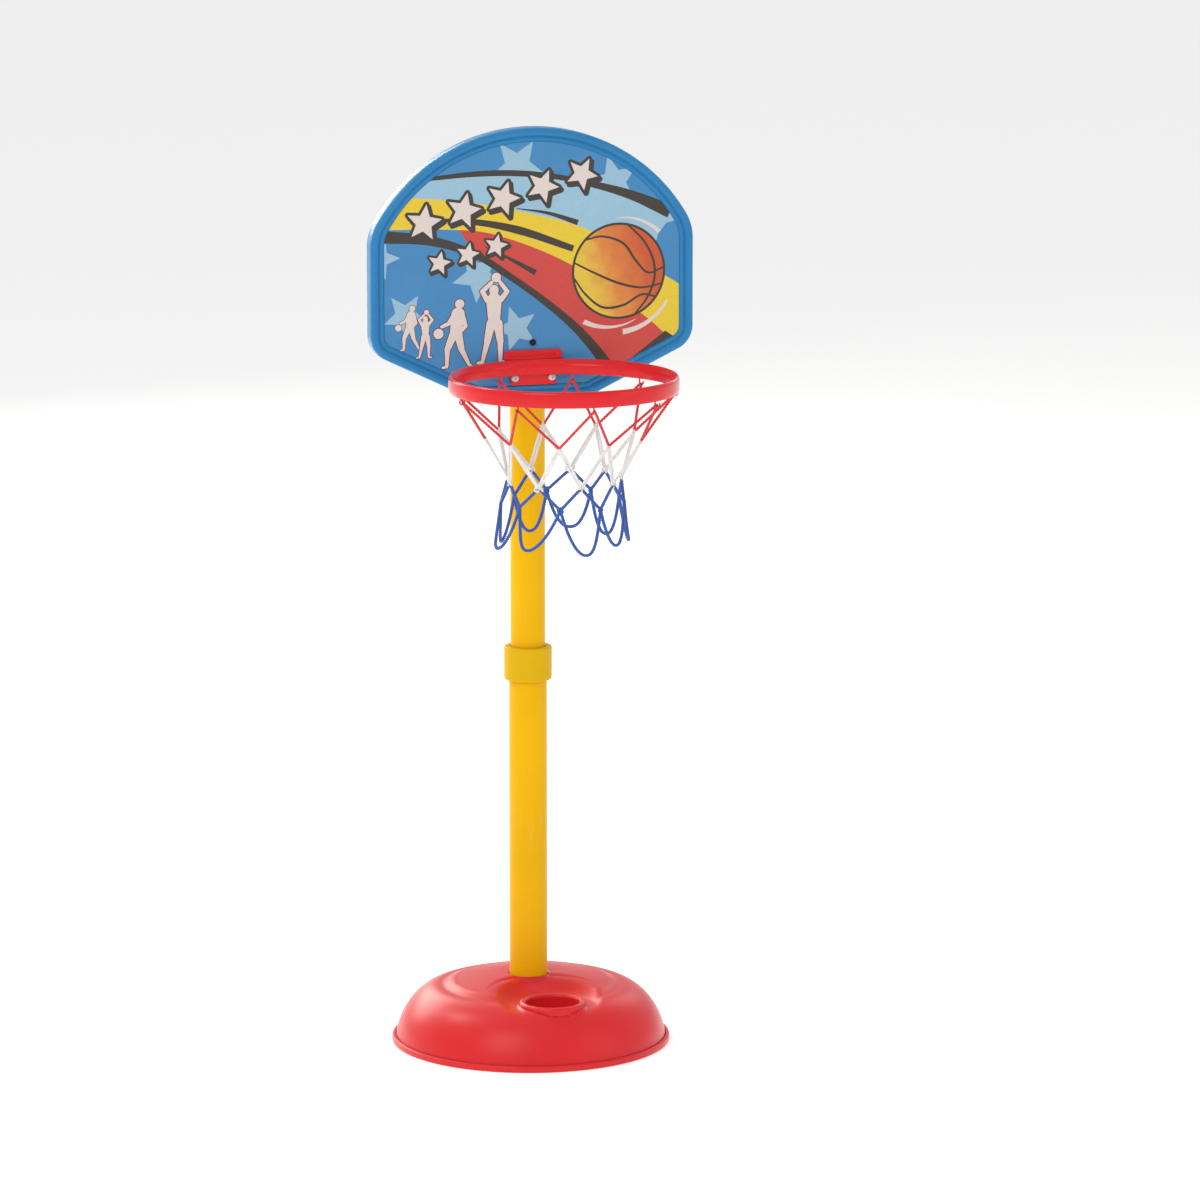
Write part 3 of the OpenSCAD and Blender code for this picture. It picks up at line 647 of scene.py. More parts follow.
def scatter_tree():
    """Puts one copy of a shape on each point, with the shape's Z along the point's facing."""
    t = Tree("scatter", {"Shape": ("NodeSocketObject", None), "Size": ("NodeSocketFloat", 1.0),
                         "Size spread": ("NodeSocketFloat", 0.0), "Turn spread": ("NodeSocketFloat", 0.0),
                         "Seed": ("NodeSocketInt", 4), "Material": ("NodeSocketMaterial", None)})
    shape = t.add("GeometryNodeObjectInfo", {"Object": t.ask("Shape")}).outputs["Geometry"]
    size = t.add("FunctionNodeRandomValue", data_type="FLOAT")
    turn = t.add("FunctionNodeRandomValue", data_type="FLOAT")
    low = t.math("SUBTRACT", t.ask("Size"), t.ask("Size spread"))
    high = t.math("ADD", t.ask("Size"), t.ask("Size spread"))
    back = t.math("MULTIPLY", t.ask("Turn spread"), -1.0)
    for node, a, b in ((size, low, high), (turn, back, t.ask("Turn spread"))):
        floats = [s for s in node.inputs if s.type == "VALUE" and s.name in ("Min", "Max")]
        t.tree.links.new(a, floats[0])
        t.tree.links.new(b, floats[1])
        t.tree.links.new(t.ask("Seed"), node.inputs["Seed"])
    sizes, turns = (next(s for s in n.outputs if s.type == "VALUE") for n in (size, turn))
    face = t.add("FunctionNodeAlignRotationToVector", {"Vector": t.attribute("facing")}).outputs[0]
    spin = t.add("FunctionNodeAxisAngleToRotation", {"Axis": (0, 0, 1), "Angle": turns}).outputs[0]
    both = t.add("FunctionNodeRotateRotation", {"Rotation": face, "Rotate By": spin},
                 rotation_space="LOCAL").outputs[0]
    copies = t.add("GeometryNodeInstanceOnPoints", {"Points": t.ask("Geometry"), "Instance": shape,
                                                    "Rotation": both, "Scale": sizes})
    return t.end(copies.outputs[0], t.ask("Material"))


def rib_tree():
    """Stands a drafted rib on each point, as long as the point's run and across it."""
    t = Tree("ribs", {"Width": ("NodeSocketFloat", 0.002), "Depth": ("NodeSocketFloat", 0.01),
                      "Draft": ("NodeSocketFloat", 0.3), "Material": ("NodeSocketMaterial", None)})
    bar = t.add("GeometryNodeMeshCube", {"Size": (1, 1, 1)}).outputs[0]
    split = t.add("ShaderNodeSeparateXYZ", {"Vector": t.add("GeometryNodeInputPosition").outputs[0]})
    height = t.math("ADD", split.outputs["Y"], 0.5)
    thin = t.math("SUBTRACT", 1.0, t.math("MULTIPLY", t.ask("Draft"), height))
    width = t.math("MULTIPLY", t.math("MULTIPLY", split.outputs["Z"], thin), t.ask("Width"))
    place = t.add("ShaderNodeCombineXYZ", {"X": split.outputs["X"], "Z": width,
                                           "Y": t.math("MULTIPLY", height, t.ask("Depth"))}).outputs[0]
    drafted = t.add("GeometryNodeSetPosition", {"Geometry": bar, "Position": place}).outputs[0]
    run = t.attribute("run")
    long = t.add("ShaderNodeVectorMath", {0: run}, operation="LENGTH").outputs["Value"]
    size = t.add("ShaderNodeCombineXYZ", {"X": long, "Y": 1.0, "Z": 1.0}).outputs[0]
    turn = t.add("FunctionNodeAlignRotationToVector", {"Vector": run}, axis="X", pivot_axis="Y").outputs[0]
    copies = t.add("GeometryNodeInstanceOnPoints", {"Points": t.ask("Geometry"), "Instance": drafted,
                                                    "Rotation": turn, "Scale": size})
    return t.end(copies.outputs[0], t.ask("Material"))


def marked_points(name, places, attribute, vectors):
    """A mesh of loose points that each carry one named vector."""
    mesh = bpy.data.meshes.new(name)
    mesh.from_pydata([tuple(p) for p in places], [], [])
    values = mesh.attributes.new(attribute, "FLOAT_VECTOR", "POINT")
    for item, vector in zip(values.data, vectors):
        item.vector = vector
    return new_object(name, mesh)


def chain(name, paths, closed=True):
    """A mesh of chains of edges, one for each path."""
    verts, edges = [], []
    for path in paths:
        first, count = len(verts), len(path)
        verts += [tuple(p) for p in path]
        edges += [(first + i, first + (i + 1) % count) for i in range(count if closed else count - 1)]
    mesh = bpy.data.meshes.new(name)
    mesh.from_pydata(verts, edges, [])
    return new_object(name, mesh)


def scattered(tree, name, shape, places, facings, material, turn=0.0, spread=0.0, seed=4):
    """Copies of a shape on the places; the shape itself is used up."""
    points = marked_points(name, places, "facing", facings)
    piece = tree.run(points, {"Shape": shape, "Turn spread": turn, "Size spread": spread, "Seed": seed,
                              "Material": material})
    bpy.data.objects.remove(shape)
    return shaded(piece, 38)


# ---- Backboard ----

# head radius and height of each kind of screw
RIM_HEAD, CLAMP_HEAD, PAN_HEAD = (5, 2.6), (3.8, 2.6), (3.8, 2.4)
FOOT_W, SIDE_FOOT, SIDE_TOP = 143.0, 64.0, 208.0
FOOT_ROUND, SIDE_ROUND, BROW_ROUND = 24.0, 32.0, 60.0
HALF_W = (BOARD_HIGH.x - BOARD_LOW.x) / 2 / MM
BOARD_H = (BOARD_HIGH.z - BOARD_LOW.z) / MM
FRONT = BOARD_LOW.y / MM
PANEL_BACK = 8.0
# a rib's depth and width, and how far its foot goes into the panel
RIB_DEPTH, RIB_W, RIB_SINK = 10.0, 2.0, 0.4
# inset and depth of the border's section, from the panel's front round to its back
BORDER_MM = [(17, 5), (16.7, 3.9), (15.9, 3.2), (12.6, 3.05), (11.8, 3.5), (11.0, 3.9), (10.4, 3.4),
             (9.9, 2.3), (9.2, 1.2), (8.0, 0.45), (6.2, 0.08), (4.2, 0.05), (2.6, 0.4), (1.2, 1.2),
             (0.4, 2.4), (0, 4.2), (0, 21.2), (0.4, 21.9), (1.2, 22), (2.4, 22), (3, 21.4), (3, 4.2),
             (3.6, 3.4), (5.5, 3.1), (7.4, 3.4), (8, 4.2), (8, 8)]


def board_outline(inset):
    """The backboard's outline in millimetres over its bottom edge, drawn in by inset."""
    slope = math.atan(SIDE_FOOT / (HALF_W - FOOT_W / 2))
    lean = math.degrees(slope)
    foot_x = HALF_W - (FOOT_ROUND - (FOOT_ROUND - SIDE_FOOT) * math.cos(slope)) / math.sin(slope)
    foot = (foot_x, FOOT_ROUND)
    side = (HALF_W - SIDE_ROUND, SIDE_FOOT + SIDE_ROUND * (1 - math.sin(slope)) / math.cos(slope))
    rise = BOARD_H - SIDE_TOP
    arch_r = (HALF_W ** 2 + rise ** 2) / (2 * rise)
    arch = (0, BOARD_H - arch_r)
    brow_x = HALF_W - BROW_ROUND
    brow = (brow_x, arch[1] + math.sqrt((arch_r - BROW_ROUND) ** 2 - brow_x ** 2))
    turn = math.degrees(math.atan2(brow[1] - arch[1], brow[0]))
    right = (arc(foot, FOOT_ROUND - inset, -90, lean - 90, 8)
             + arc(side, SIDE_ROUND - inset, lean - 90, 0, 12)
             + arc(brow, BROW_ROUND - inset, 0, turn, 8)
             + arc(arch, arch_r - inset, turn, 90, 40)[1:])
    return right + [(-x, z) for x, z in right[-2::-1]]


def on_board(x, depth, z):
    return (x * MM, (FRONT + depth) * MM, BOARD_LOW.z + z * MM)


def span(points, axis, value):
    """Where a line at value across an outline goes in and out of it."""
    hits = []
    for a, b in zip(points, points[1:] + points[:1]):
        if (a[axis] - value) * (b[axis] - value) < 0:
            t = (value - a[axis]) / (b[axis] - a[axis])
            hits.append(a[1 - axis] + t * (b[1 - axis] - a[1 - axis]))
    return min(hits), max(hits)


def cut(piece, cutter):
    """Takes the cutter out of the piece; the cutter is used up."""
    hole = piece.modifiers.new("cut", "BOOLEAN")
    hole.operation = "DIFFERENCE"
    hole.solver = "EXACT"
    hole.object = cutter
    baked(piece)
    bpy.data.objects.remove(cutter)
    return piece


def turned(name, section, centre, axis, material, around=48):
    """A turned solid: (radius, height) points from one pole to the other, along an axis."""
    turn = Vector(axis).to_track_quat("Z", "Y")
    verts = [Vector(centre) + turn @ Vector((0, 0, section[0][1] * MM))]
    for r, h in section[1:-1]:
        for j in range(around):
            a = TAU * j / around
            verts.append(Vector(centre) + turn @ Vector((r * math.cos(a), r * math.sin(a), h)) * MM)
    verts.append(Vector(centre) + turn @ Vector((0, 0, section[-1][1] * MM)))
    rings = len(section) - 2
    faces = [tuple(i + 1 for i in f) for f in ring_faces(rings, around)]
    faces += [(0, 1 + (j + 1) % around, 1 + j) for j in range(around)]
    last = len(verts) - 1
    faces += [(last, last - around + j, last - around + (j + 1) % around) for j in range(around)]
    return turned_right(add_piece(name, verts, faces, material))


def make_moulding(material):
    rings = [[on_board(x, depth, z) for x, z in board_outline(inset)] for inset, depth in BORDER_MM]
    around = len(rings[0])
    verts = [v for ring in rings for v in ring]
    faces = ring_faces(len(rings), around)
    faces.append(tuple(range(around))[::-1])
    faces.append(tuple(range(len(verts) - around, len(verts))))
    board = turned_right(add_piece("board_moulding", verts, faces, material))
    mouth_r = radius_of("mast_tube") + 1
    mouth = [(0, -6), (mouth_r, -6), (mouth_r, 3.6), (0, 3.6)]
    cut(board, turned("mast_mouth", mouth, (0, POLE.y, BOARD_LOW.z), (0, 0, 1), material, 72))
    return shaded(board, 40)


def make_ribs(material):
    """Stiffening ribs behind the panel, clear of the mast and of the rim's nuts."""
    clear = radius_of("mast_tube") + 1.5
    inner = board_outline(2.6)
    runs = []
    for i in (-3, -2, -1, 1, 2, 3):
        x = i * HALF_W / 4
        low, high = span(inner, 0, x)
        runs.append(((x, low), (x, high)))
    for i in range(1, 6):
        z = i * BOARD_H / 6
        low, high = span(inner, 1, z)
        runs += [((low, z), (-clear, z)), ((clear, z), (high, z))]
    foot = PANEL_BACK - RIB_SINK
    places = [on_board((a[0] + b[0]) / 2, foot, (a[1] + b[1]) / 2) for a, b in runs]
    ways = [((b[0] - a[0]) * MM, 0, (b[1] - a[1]) * MM) for a, b in runs]
    return rib_tree().run(marked_points("board_ribs", places, "run", ways),
                          {"Width": RIB_W * MM, "Depth": (RIB_DEPTH + RIB_SINK) * MM, "Material": material})


def make_board(finishes, scatter):
    material = finishes["board_blue"]
    board = make_moulding(material)
    ribs = make_ribs(material)
    boss = turned("boss", [(0, -0.5), (8, -0.5), (8, 0.2), (6.4, 0.8), (5.4, 2.2), (5.1, 4.5), (4.8, 21.4),
                           (4.2, 22), (2.1, 22), (2.1, 14), (0, 14)], (0, 0, 0), (0, 0, 1), material, 32)
    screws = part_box("clamp_screws")
    head_r = CLAMP_HEAD[0] * MM
    x = (screws[1].x - screws[0].x) / 2 - head_r
    heights = (screws[0].z + head_r, screws[1].z - head_r)
    places = [(side * x, (FRONT + PANEL_BACK) * MM, z) for side in (-1, 1) for z in heights]
    bosses = scattered(scatter, "board_bosses", boss, places, [(0, 1, 0)] * 4, material)
    piece = joined("backboard_moulding", [board, ribs, bosses])
    hand_over(piece, "head", "backboard")


# ---- Printed face sheet: places are millimetres from the board's middle and over its foot ----

def smooth_path(points, steps=8):
    """A round curve through the points."""
    ends = [2 * Vector(points[0]) - Vector(points[1])] + [Vector(p) for p in points]
    ends.append(2 * Vector(points[-1]) - Vector(points[-2]))
    path = []
    for a, b, c, d in zip(ends, ends[1:], ends[2:], ends[3:]):
        for i in range(steps):
            t = i / steps
            path.append(0.5 * (2 * b + (c - a) * t + (2 * a - 5 * b + 4 * c - d) * t ** 2
                               + (3 * b - a - 3 * c + d) * t ** 3))
    path.append(ends[-2])
    return path


def ribbon(points, widths, steps=8):
    """A stroke along a round curve; its width runs through the widths."""
    path = smooth_path(points, steps)
    left, right = [], []
    for i, p in enumerate(path):
        way = (path[min(i + 1, len(path) - 1)] - path[max(i - 1, 0)]).normalized()
        share = i / (len(path) - 1) * (len(widths) - 1)
        k = min(int(share), len(widths) - 2)
        half = (widths[k] + (widths[k + 1] - widths[k]) * (share - k)) / 2
        left.append(p + Vector((-way.y, way.x)) * half)
        right.append(p - Vector((-way.y, way.x)) * half)
    return left + right[::-1]


def capsule(a, b, r_a, r_b):
    lean = math.degrees(math.atan2(b[1] - a[1], b[0] - a[0]))
    return arc(a, r_a, lean + 90, lean + 270, 6) + arc(b, r_b, lean - 90, lean + 90, 6)


def star(centre, radius, turn, waist=0.45):
    points = []
    for i in range(10):
        a, r = math.radians(turn + 36 * i), radius if i % 2 == 0 else radius * waist
        points.append((centre[0] + r * math.cos(a), centre[1] + r * math.sin(a)))
    return points


def thick_edge(shape, width):
    return [capsule(a, b, width, width) for a, b in zip(shape, shape[1:] + shape[:1])]


def shadowed(shape, edge, drop):
    """A pale shape with a thick dark outline, and the outline again as its shadow."""
    shadow = [(x + drop[0], z + drop[1]) for x, z in shape]
    dark = [("ink_brown", part) for part in thick_edge(shadow, edge) + thick_edge(shape, edge)]
    return dark + [("ink_cream", shape)]


def swoosh(centre, radius, start, end, r_start, r_end, w_start, w_end):
    """A curved stroke round a ball, in shares of its radius."""
    outer, inner = [], []
    for i in range(17):
        t = i / 16
        a = math.radians(start + (end - start) * t)
        r, w = r_start + (r_end - r_start) * t, (w_start + (w_end - w_start) * t) / 2
        for side, points in ((w, outer), (-w, inner)):
            points.append((centre[0] + (r + side) * radius * math.cos(a),
                           centre[1] + (r + side) * radius * math.sin(a)))
    return outer + inner[::-1]


# limbs of two plain players on a height of 1: start, end and the two half widths
SHOOTER = [((0, 0.91), (0, 0.93), 0.06, 0.06), ((0, 0.79), (0, 0.52), 0.1, 0.075),
           ((0.09, 0.8), (0.17, 0.9), 0.035, 0.03), ((0.17, 0.9), (0.08, 1.02), 0.03, 0.024),
           ((-0.09, 0.8), (-0.15, 0.91), 0.035, 0.03), ((-0.15, 0.91), (-0.03, 1.02), 0.03, 0.024),
           ((0.03, 1.08), (0.031, 1.08), 0.062, 0.062), ((-0.04, 0.5), (-0.09, 0.27), 0.06, 0.042),
           ((0.05, 0.5), (0.08, 0.27), 0.06, 0.042), ((-0.09, 0.27), (-0.15, 0.03), 0.038, 0.024),
           ((0.08, 0.27), (0.08, 0.03), 0.038, 0.024), ((-0.15, 0.02), (-0.21, 0.01), 0.022, 0.018),
           ((0.08, 0.02), (0.14, 0.01), 0.022, 0.018)]
DRIBBLER = [((0.06, 0.92), (0.07, 0.92), 0.065, 0.065), ((0.04, 0.77), (0.0, 0.5), 0.1, 0.08),
            ((0.0, 0.79), (-0.1, 0.64), 0.036, 0.03), ((-0.1, 0.64), (-0.2, 0.6), 0.03, 0.024),
            ((0.1, 0.77), (0.15, 0.6), 0.036, 0.03), ((0.15, 0.6), (0.06, 0.5), 0.03, 0.024),
            ((-0.25, 0.5), (-0.249, 0.5), 0.075, 0.075), ((-0.03, 0.48), (-0.12, 0.27), 0.062, 0.044),
            ((0.04, 0.48), (0.09, 0.26), 0.062, 0.044), ((-0.12, 0.27), (-0.13, 0.03), 0.04, 0.025),
            ((0.09, 0.26), (0.19, 0.06), 0.04, 0.025), ((-0.13, 0.02), (-0.19, 0.01), 0.022, 0.018),
            ((0.19, 0.05), (0.23, 0.02), 0.022, 0.018)]


def player(limbs, foot, height, edge):
    """A dark outline and a pale filling for each limb."""
    def placed(limb, more):
        a, b, r_a, r_b = limb
        return capsule((foot[0] + a[0] * height, foot[1] + a[1] * height),
                       (foot[0] + b[0] * height, foot[1] + b[1] * height),
                       r_a * height + more, r_b * height + more)
    dark = [("ink_maroon", placed(limb, edge)) for limb in limbs]
    return dark + [("ink_cream", placed(limb, 0)) for limb in limbs]


BALL, BALL_R = (110.0, 154.5), 58.5
# seams of the printed ball, in shares of its radius
SEAMS = [[(-0.72, 0.68), (-0.35, 0.74), (0.1, 0.58), (0.38, 0.2), (0.65, -0.06), (0.99, 0.05)],
         [(-0.97, 0.2), (-0.5, -0.04), (0.0, -0.26), (0.5, -0.37), (0.93, -0.3)],
         [(0.2, 0.97), (0.55, 0.62), (0.76, 0.2), (0.78, -0.2), (0.62, -0.6), (0.36, -0.92)],
         [(-0.98, -0.12), (-0.72, -0.48), (-0.35, -0.76), (0.1, -0.73), (0.5, -0.52), (0.8, -0.57)]]


def print_layers():
    """Ink and outline of each printed shape; a later one covers an earlier one."""
    layers = [("ink_star", star(*spot)) for spot in (
        ((-19, 288), 36, 272), ((104, 265), 34, 104), ((-194, 180), 27, 0), ((-161, 109), 29, 128),
        ((-69, 155), 34, 194), ((-21, 88), 29, 36))]
    yellow_top = [(-196, 260), (-150, 253), (-92, 247), (-18, 233), (75, 205), (171, 146), (200, 128)]
    red_top = [(-196, 215), (-110, 213), (-45, 204), (48, 165), (140, 100), (176, 68), (190, 56)]
    dark_mid = [(-196, 207), (-130, 200), (-73, 181), (-25, 150), (22, 115), (60, 81), (92, 42), (100, 20)]
    arch = [(-196, 270), (-127, 276), (-69, 280), (-16, 279), (38, 272), (91, 259), (131, 246), (176, 226)]
    corner = [Vector(p) for p in ((189, 216), (171, 212), (161, 199), (150, 165))]
    layers.append(("ink_pale", smooth_path(arch) + corner + smooth_path(yellow_top[:6])[-12::-1]))
    layers.append(("ink_yellow", smooth_path(yellow_top) + smooth_path(red_top)[::-1]))
    red_foot = smooth_path(dark_mid)[::-1]
    wedge = [(168, 76), (124, 42), (112, 20)]
    layers.append(("ink_red", smooth_path(red_top)[10:41] + [Vector(p) for p in wedge] + red_foot[:41]))
    layers.append(("ink_brown", ribbon(dark_mid, [16, 12, 9, 8, 9, 11, 14, 16])))
    layers.append(("ink_brown", [(170, 78), (124, 44), (108, 14), (200, 14), (200, 62), (187, 66)]))
    for line, widths in ((arch, [4, 5, 7, 7.5, 6.5, 9, 12, 17]),
                         ([(-150, 226), (-80, 222), (-17, 209), (52, 184)], [1, 7, 10, 8]),
                         ([(-20, 236), (20, 229), (58, 216)], [1, 4, 7]),
                         ([(-60, 190), (-28, 174), (4, 156)], [1, 4, 7])):
        layers.append(("ink_brown", ribbon(line, widths)))
    for i in range(5):
        layers += shadowed(star((-137 + 50 * i, 222 + 13.5 * i), 23 - 0.6 * i, 82 - 5 * i), 3.6, (2.6, -3.6))
    for i in range(3):
        layers += shadowed(star((-118 + 36 * i, 172 + 9.5 * i), 15, 78), 2.8, (1.8, -2.6))
    layers += player(DRIBBLER, (-156, 66), 56, 0.7) + player(SHOOTER, (-136, 56), 52, 0.9)
    layers += player(DRIBBLER, (-98, 42), 86, 1.1) + player(SHOOTER, (-49, 46), 98, 1.2)
    layers.append(("ink_cream", swoosh(BALL, BALL_R, 92, 42, 1.12, 1.2, 0.01, 0.09)))
    layers.append(("ink_brown", arc(BALL, BALL_R + 1.4, 0, 360, 72)[:-1]))
    layers.append(("ink_ball", arc(BALL, BALL_R - 1.6, 0, 360, 72)[:-1]))
    for seam in SEAMS:
        line = [(BALL[0] + x * BALL_R, BALL[1] + z * BALL_R) for x, z in seam]
        layers.append(("ink_brown", ribbon(line, [2.2, 3.2, 2.2])))
    layers.append(("ink_cream", swoosh(BALL, BALL_R, -126, -70, 1.3, 1.1, 0.11, 0.01)))
    layers.append(("ink_cream", swoosh(BALL, BALL_R, -86, -32, 1.3, 1.25, 0.12, 0.05)))
    return layers


def inside(points, polygon):
    """For each point, whether it lies in the polygon."""
    x, z = points[:, 0], points[:, 1]
    odd = np.zeros(len(points), bool)
    for (ax, az), (bx, bz) in zip(polygon, polygon[1:] + polygon[:1]):
        if az != bz:
            crossing = ((az > z) != (bz > z)) & (x < (bx - ax) * (z - az) / (bz - az) + ax)
            odd ^= crossing
    return odd


def make_print(finishes):
    """One flat sheet whose faces follow the printed shapes, cut out at the bolt and the screws."""
    outline = board_outline(17.6)
    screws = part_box("rim_screws")
    screw_x = (screws[1].x - screws[0].x) / 2 / MM - RIM_HEAD[0]
    screw_z = ((screws[0].z + screws[1].z) / 2 - BOARD_LOW.z) / MM
    bolt_z = (middle("mast_bolt").z - BOARD_LOW.z) / MM
    holes = [arc(spot, r, 0, 360, 20)[:-1]
             for spot, r in (((0, bolt_z), 2.7), ((-screw_x, screw_z), 2.2), ((screw_x, screw_z), 2.2))]
    layers = [(ink, [tuple(p) for p in shape]) for ink, shape in print_layers()]
    flat, edges = [], []
    for loop in [outline] + holes + [shape for _, shape in layers]:
        first = len(flat)
        flat += [Vector(p[:2]) for p in loop]
        edges += [(first + i, first + (i + 1) % len(loop)) for i in range(len(loop))]
    points, _, faces, *_ = geometry.delaunay_2d_cdt(flat, edges, [], 0, 1e-4)
    centres = np.array([sum((points[i] for i in f), Vector((0, 0))) / len(f) for f in faces])
    kept = inside(centres, outline)
    for hole in holes:
        kept &= ~inside(centres, hole)
    inks = sorted({ink for ink, _ in layers} | {"ink_blue"})
    choice = np.full(len(faces), inks.index("ink_blue"))
    for ink, shape in layers:
        choice[inside(centres, shape)] = inks.index(ink)
    depth = SHEET_LOW.y / MM - FRONT
    sheet = add_piece("printed_sheet", [on_board(p.x, depth, p.y) for p in points],
                      [f for f, keep in zip(faces, kept) if keep], finishes[inks[0]], smooth=False)
    for ink in inks[1:]:
        sheet.data.materials.append(finishes[ink])
    for face, ink in zip(sheet.data.polygons, choice[kept]):
        face.material_index = int(ink)
    work = bmesh.new()
    work.from_mesh(sheet.data)
    bmesh.ops.delete(work, geom=[v for v in work.verts if not v.link_faces], context="VERTS")
    if sum(f.normal.y for f in work.faces) > 0:
        bmesh.ops.reverse_faces(work, faces=work.faces)
    work.to_mesh(sheet.data)
    work.free()
    film = sheet.modifiers.new("film", "SOLIDIFY")
    film.thickness = 0.28 * MM
    film.offset = -1
    hand_over(baked(sheet), "head", "face_sheet")


# ---- Rim and its fasteners ----

RIM_H, RIM_W, RIM_WALL = 20.0, 9.0, 2.5
TAB_W, PLATE_W, PLATE_T = 73.0, 58.0, 4.0
HOOK_R, HOOK_BEND, HOOK_WIRE = 135.5, 3.25, 1.0


def rounded(points, radii, steps=6):
    """A closed outline with its corners rounded, each by its own radius."""
    result = []
    for i, corner in enumerate(points):
        here = Vector(corner)
        before, after = Vector(points[i - 1]) - here, Vector(points[(i + 1) % len(points)]) - here
        reach = min(radii[i] if isinstance(radii, (list, tuple)) else radii,
                    before.length / 2.05, after.length / 2.05)
        a, b = here + before.normalized() * reach, here + after.normalized() * reach
        for k in range(steps + 1):
            t = k / steps
            result.append((1 - t) ** 2 * a + 2 * t * (1 - t) * here + t * t * b)
    return result


def swept_ring(name, section, radius, z, material, around=288):
    """A closed section of (outward, up) millimetres turned about the rim's axis."""
    verts = []
    for j in range(around):
        a = TAU * j / around
        for p in section:
            r = radius + p.x * MM
            verts.append((r * math.cos(a), RIM_Y + r * math.sin(a), z + p.y * MM))
    piece = add_piece(name, verts, ring_faces(around, len(section), closed=True), material)
    return turned_right(piece)


def extruded(name, outline, y0, y1, material, bevel_mm=0.0):
    """A plate between two depths, from its front outline in metres (x, z)."""
    verts = [(p[0], y, p[1]) for y in (y0, y1) for p in outline]
    piece = turned_right(add_piece(name, verts, prism_faces(len(outline)), material))
    if bevel_mm:
        soft = piece.modifiers.new("soft edges", "BEVEL")
        soft.width = bevel_mm * MM
        soft.segments = 3
        soft.limit_method = "ANGLE"
        soft.angle_limit = math.radians(50)
        baked(piece)
    return piece


def make_plate(material):
    """The mount plate: a wide tab over the rim and a narrower foot under it."""
    top, foot = RIM_HIGH.z, RIM_LOW.z
    low = RIM_TOP - RIM_H * MM
    half, narrow = TAB_W / 2 * MM, PLATE_W / 2 * MM
    corners = [(half, top), (-half, top), (-half, low + 7 * MM), (-narrow, low), (-narrow, foot),
               (narrow, foot), (narrow, low), (half, low + 7 * MM)]
    outline = rounded(corners, [v * MM for v in (4.5, 4.5, 2, 3, 4, 4, 3, 2)])
    front, back = SHEET_LOW.y - PLATE_T * MM, SHEET_LOW.y
    plate = extruded("mount_plate", outline, front, back, material, 0.9)
    slot_half, slot_z = half - 8 * MM, RIM_TOP + 4.5 * MM
    slot_h = 1.6 * MM
    slot = rounded([(slot_half, slot_z + slot_h), (-slot_half, slot_z + slot_h),
                    (-slot_half, slot_z - slot_h), (slot_half, slot_z - slot_h)], 1.5 * MM)
    return cut(plate, extruded("tab_slot", slot, front - 2 * MM, front + 1.6 * MM, material))


def make_web(material):
    """Fills between the ring's back and the plate, down to the channel's inner wall."""
    inner_r = RIM_R - (RIM_W - 1.2) * MM
    half = TAB_W / 2 - 1
    front = [(x * MM, RIM_Y + math.sqrt(inner_r ** 2 - (x * MM) ** 2))
             for x in np.linspace(half, -half, 25)]
    back = SHEET_LOW.y - 2 * MM
    outline = front + [(-half * MM, back), (half * MM, back)]
    low, high = RIM_TOP - 17 * MM, RIM_TOP - 2.4 * MM
    verts = [(x, y, z) for z in (low, high) for x, y in outline]
    return turned_right(add_piece("rim_web", verts, prism_faces(len(outline)), material, smooth=False))


def make_hooks(material, rope):
    """Hooks under the channel, each a stem that turns up into an open end."""
    low = RIM_TOP - RIM_H * MM
    paths = []
    for i in range(HOOKS):
        a = math.radians(90 + STEP / 2 + STEP * i)
        out = Vector((math.cos(a), math.sin(a), 0))
        axis = Vector((0, RIM_Y, 0)) + out * HOOK_R * MM
        path = [(-HOOK_BEND, 4.5), (-HOOK_BEND, -2)]
        path += [(x, z - 4) for x, z in arc((0, 0), HOOK_BEND, 180, 360, 14)] + [(HOOK_BEND, -2.6)]
        paths.append([axis + out * x * MM + Vector((0, 0, low + z * MM)) for x, z in path])
    return rope.run(chain("rim_hooks", paths, closed=False),
                    {"Radius": HOOK_WIRE * MM, "Groove": 0.0, "Step": 0.8 * MM, "Material": material})


def make_rim(finishes):
    material = finishes["rim_red"]
    knee = RIM_H - 8
    w, t = RIM_W, RIM_WALL
    corners = [(-0.9, 0.0), (-0.2, 3.0), (0, knee), (-0.4, RIM_H - 2.6), (-2.6, RIM_H),
               (-4.6, RIM_H - 1.0), (-w + 0.4, knee + 1.4), (-w, knee - 1), (-w, 2.0),
               (-w + t, 2.0), (-w + t, knee - 1.6), (-t, RIM_H - 4.6), (-t, 0.0)]
    radii = [0.4, 2.5, 5, 2.6, 1.4, 1.6, 2.4, 1.2, 0.6, 0.6, 1, 1, 0.4]
    section = rounded(corners, radii, 4)
    ring = swept_ring("rim_ring", section, RIM_R, RIM_TOP - RIM_H * MM, material)
    plate = make_plate(material)
    web = make_web(material)
    hooks = make_hooks(material, rope_tree())
    rim = shaded(joined("rim_moulding", [ring, plate, web, hooks]), 38)
    hand_over(rim, "head", "rim")


def threaded_section(radius, length, pitch, material, around=24):
    """A screw's shank: a real helical thread that runs out at its end."""
    rings = int(length / pitch * 6)
    verts = []
    for i in range(rings + 1):
        z = -length * i / rings
        fade = min(1.0, 4 * (1 - i / rings))
        for j in range(around):
            a = TAU * j / around
            tooth = abs(((z / pitch + a / TAU) % 1.0) - 0.5) * 2
            r = radius - 0.3 * tooth - 0.5 * (1 - fade)
            verts.append((r * math.cos(a) * MM, r * math.sin(a) * MM, z * MM))
    faces = ring_faces(rings + 1, around)
    faces += [tuple(range(around)), tuple(range(len(verts) - around, len(verts)))[::-1]]
    return turned_right(add_piece("shank", verts, faces, material))


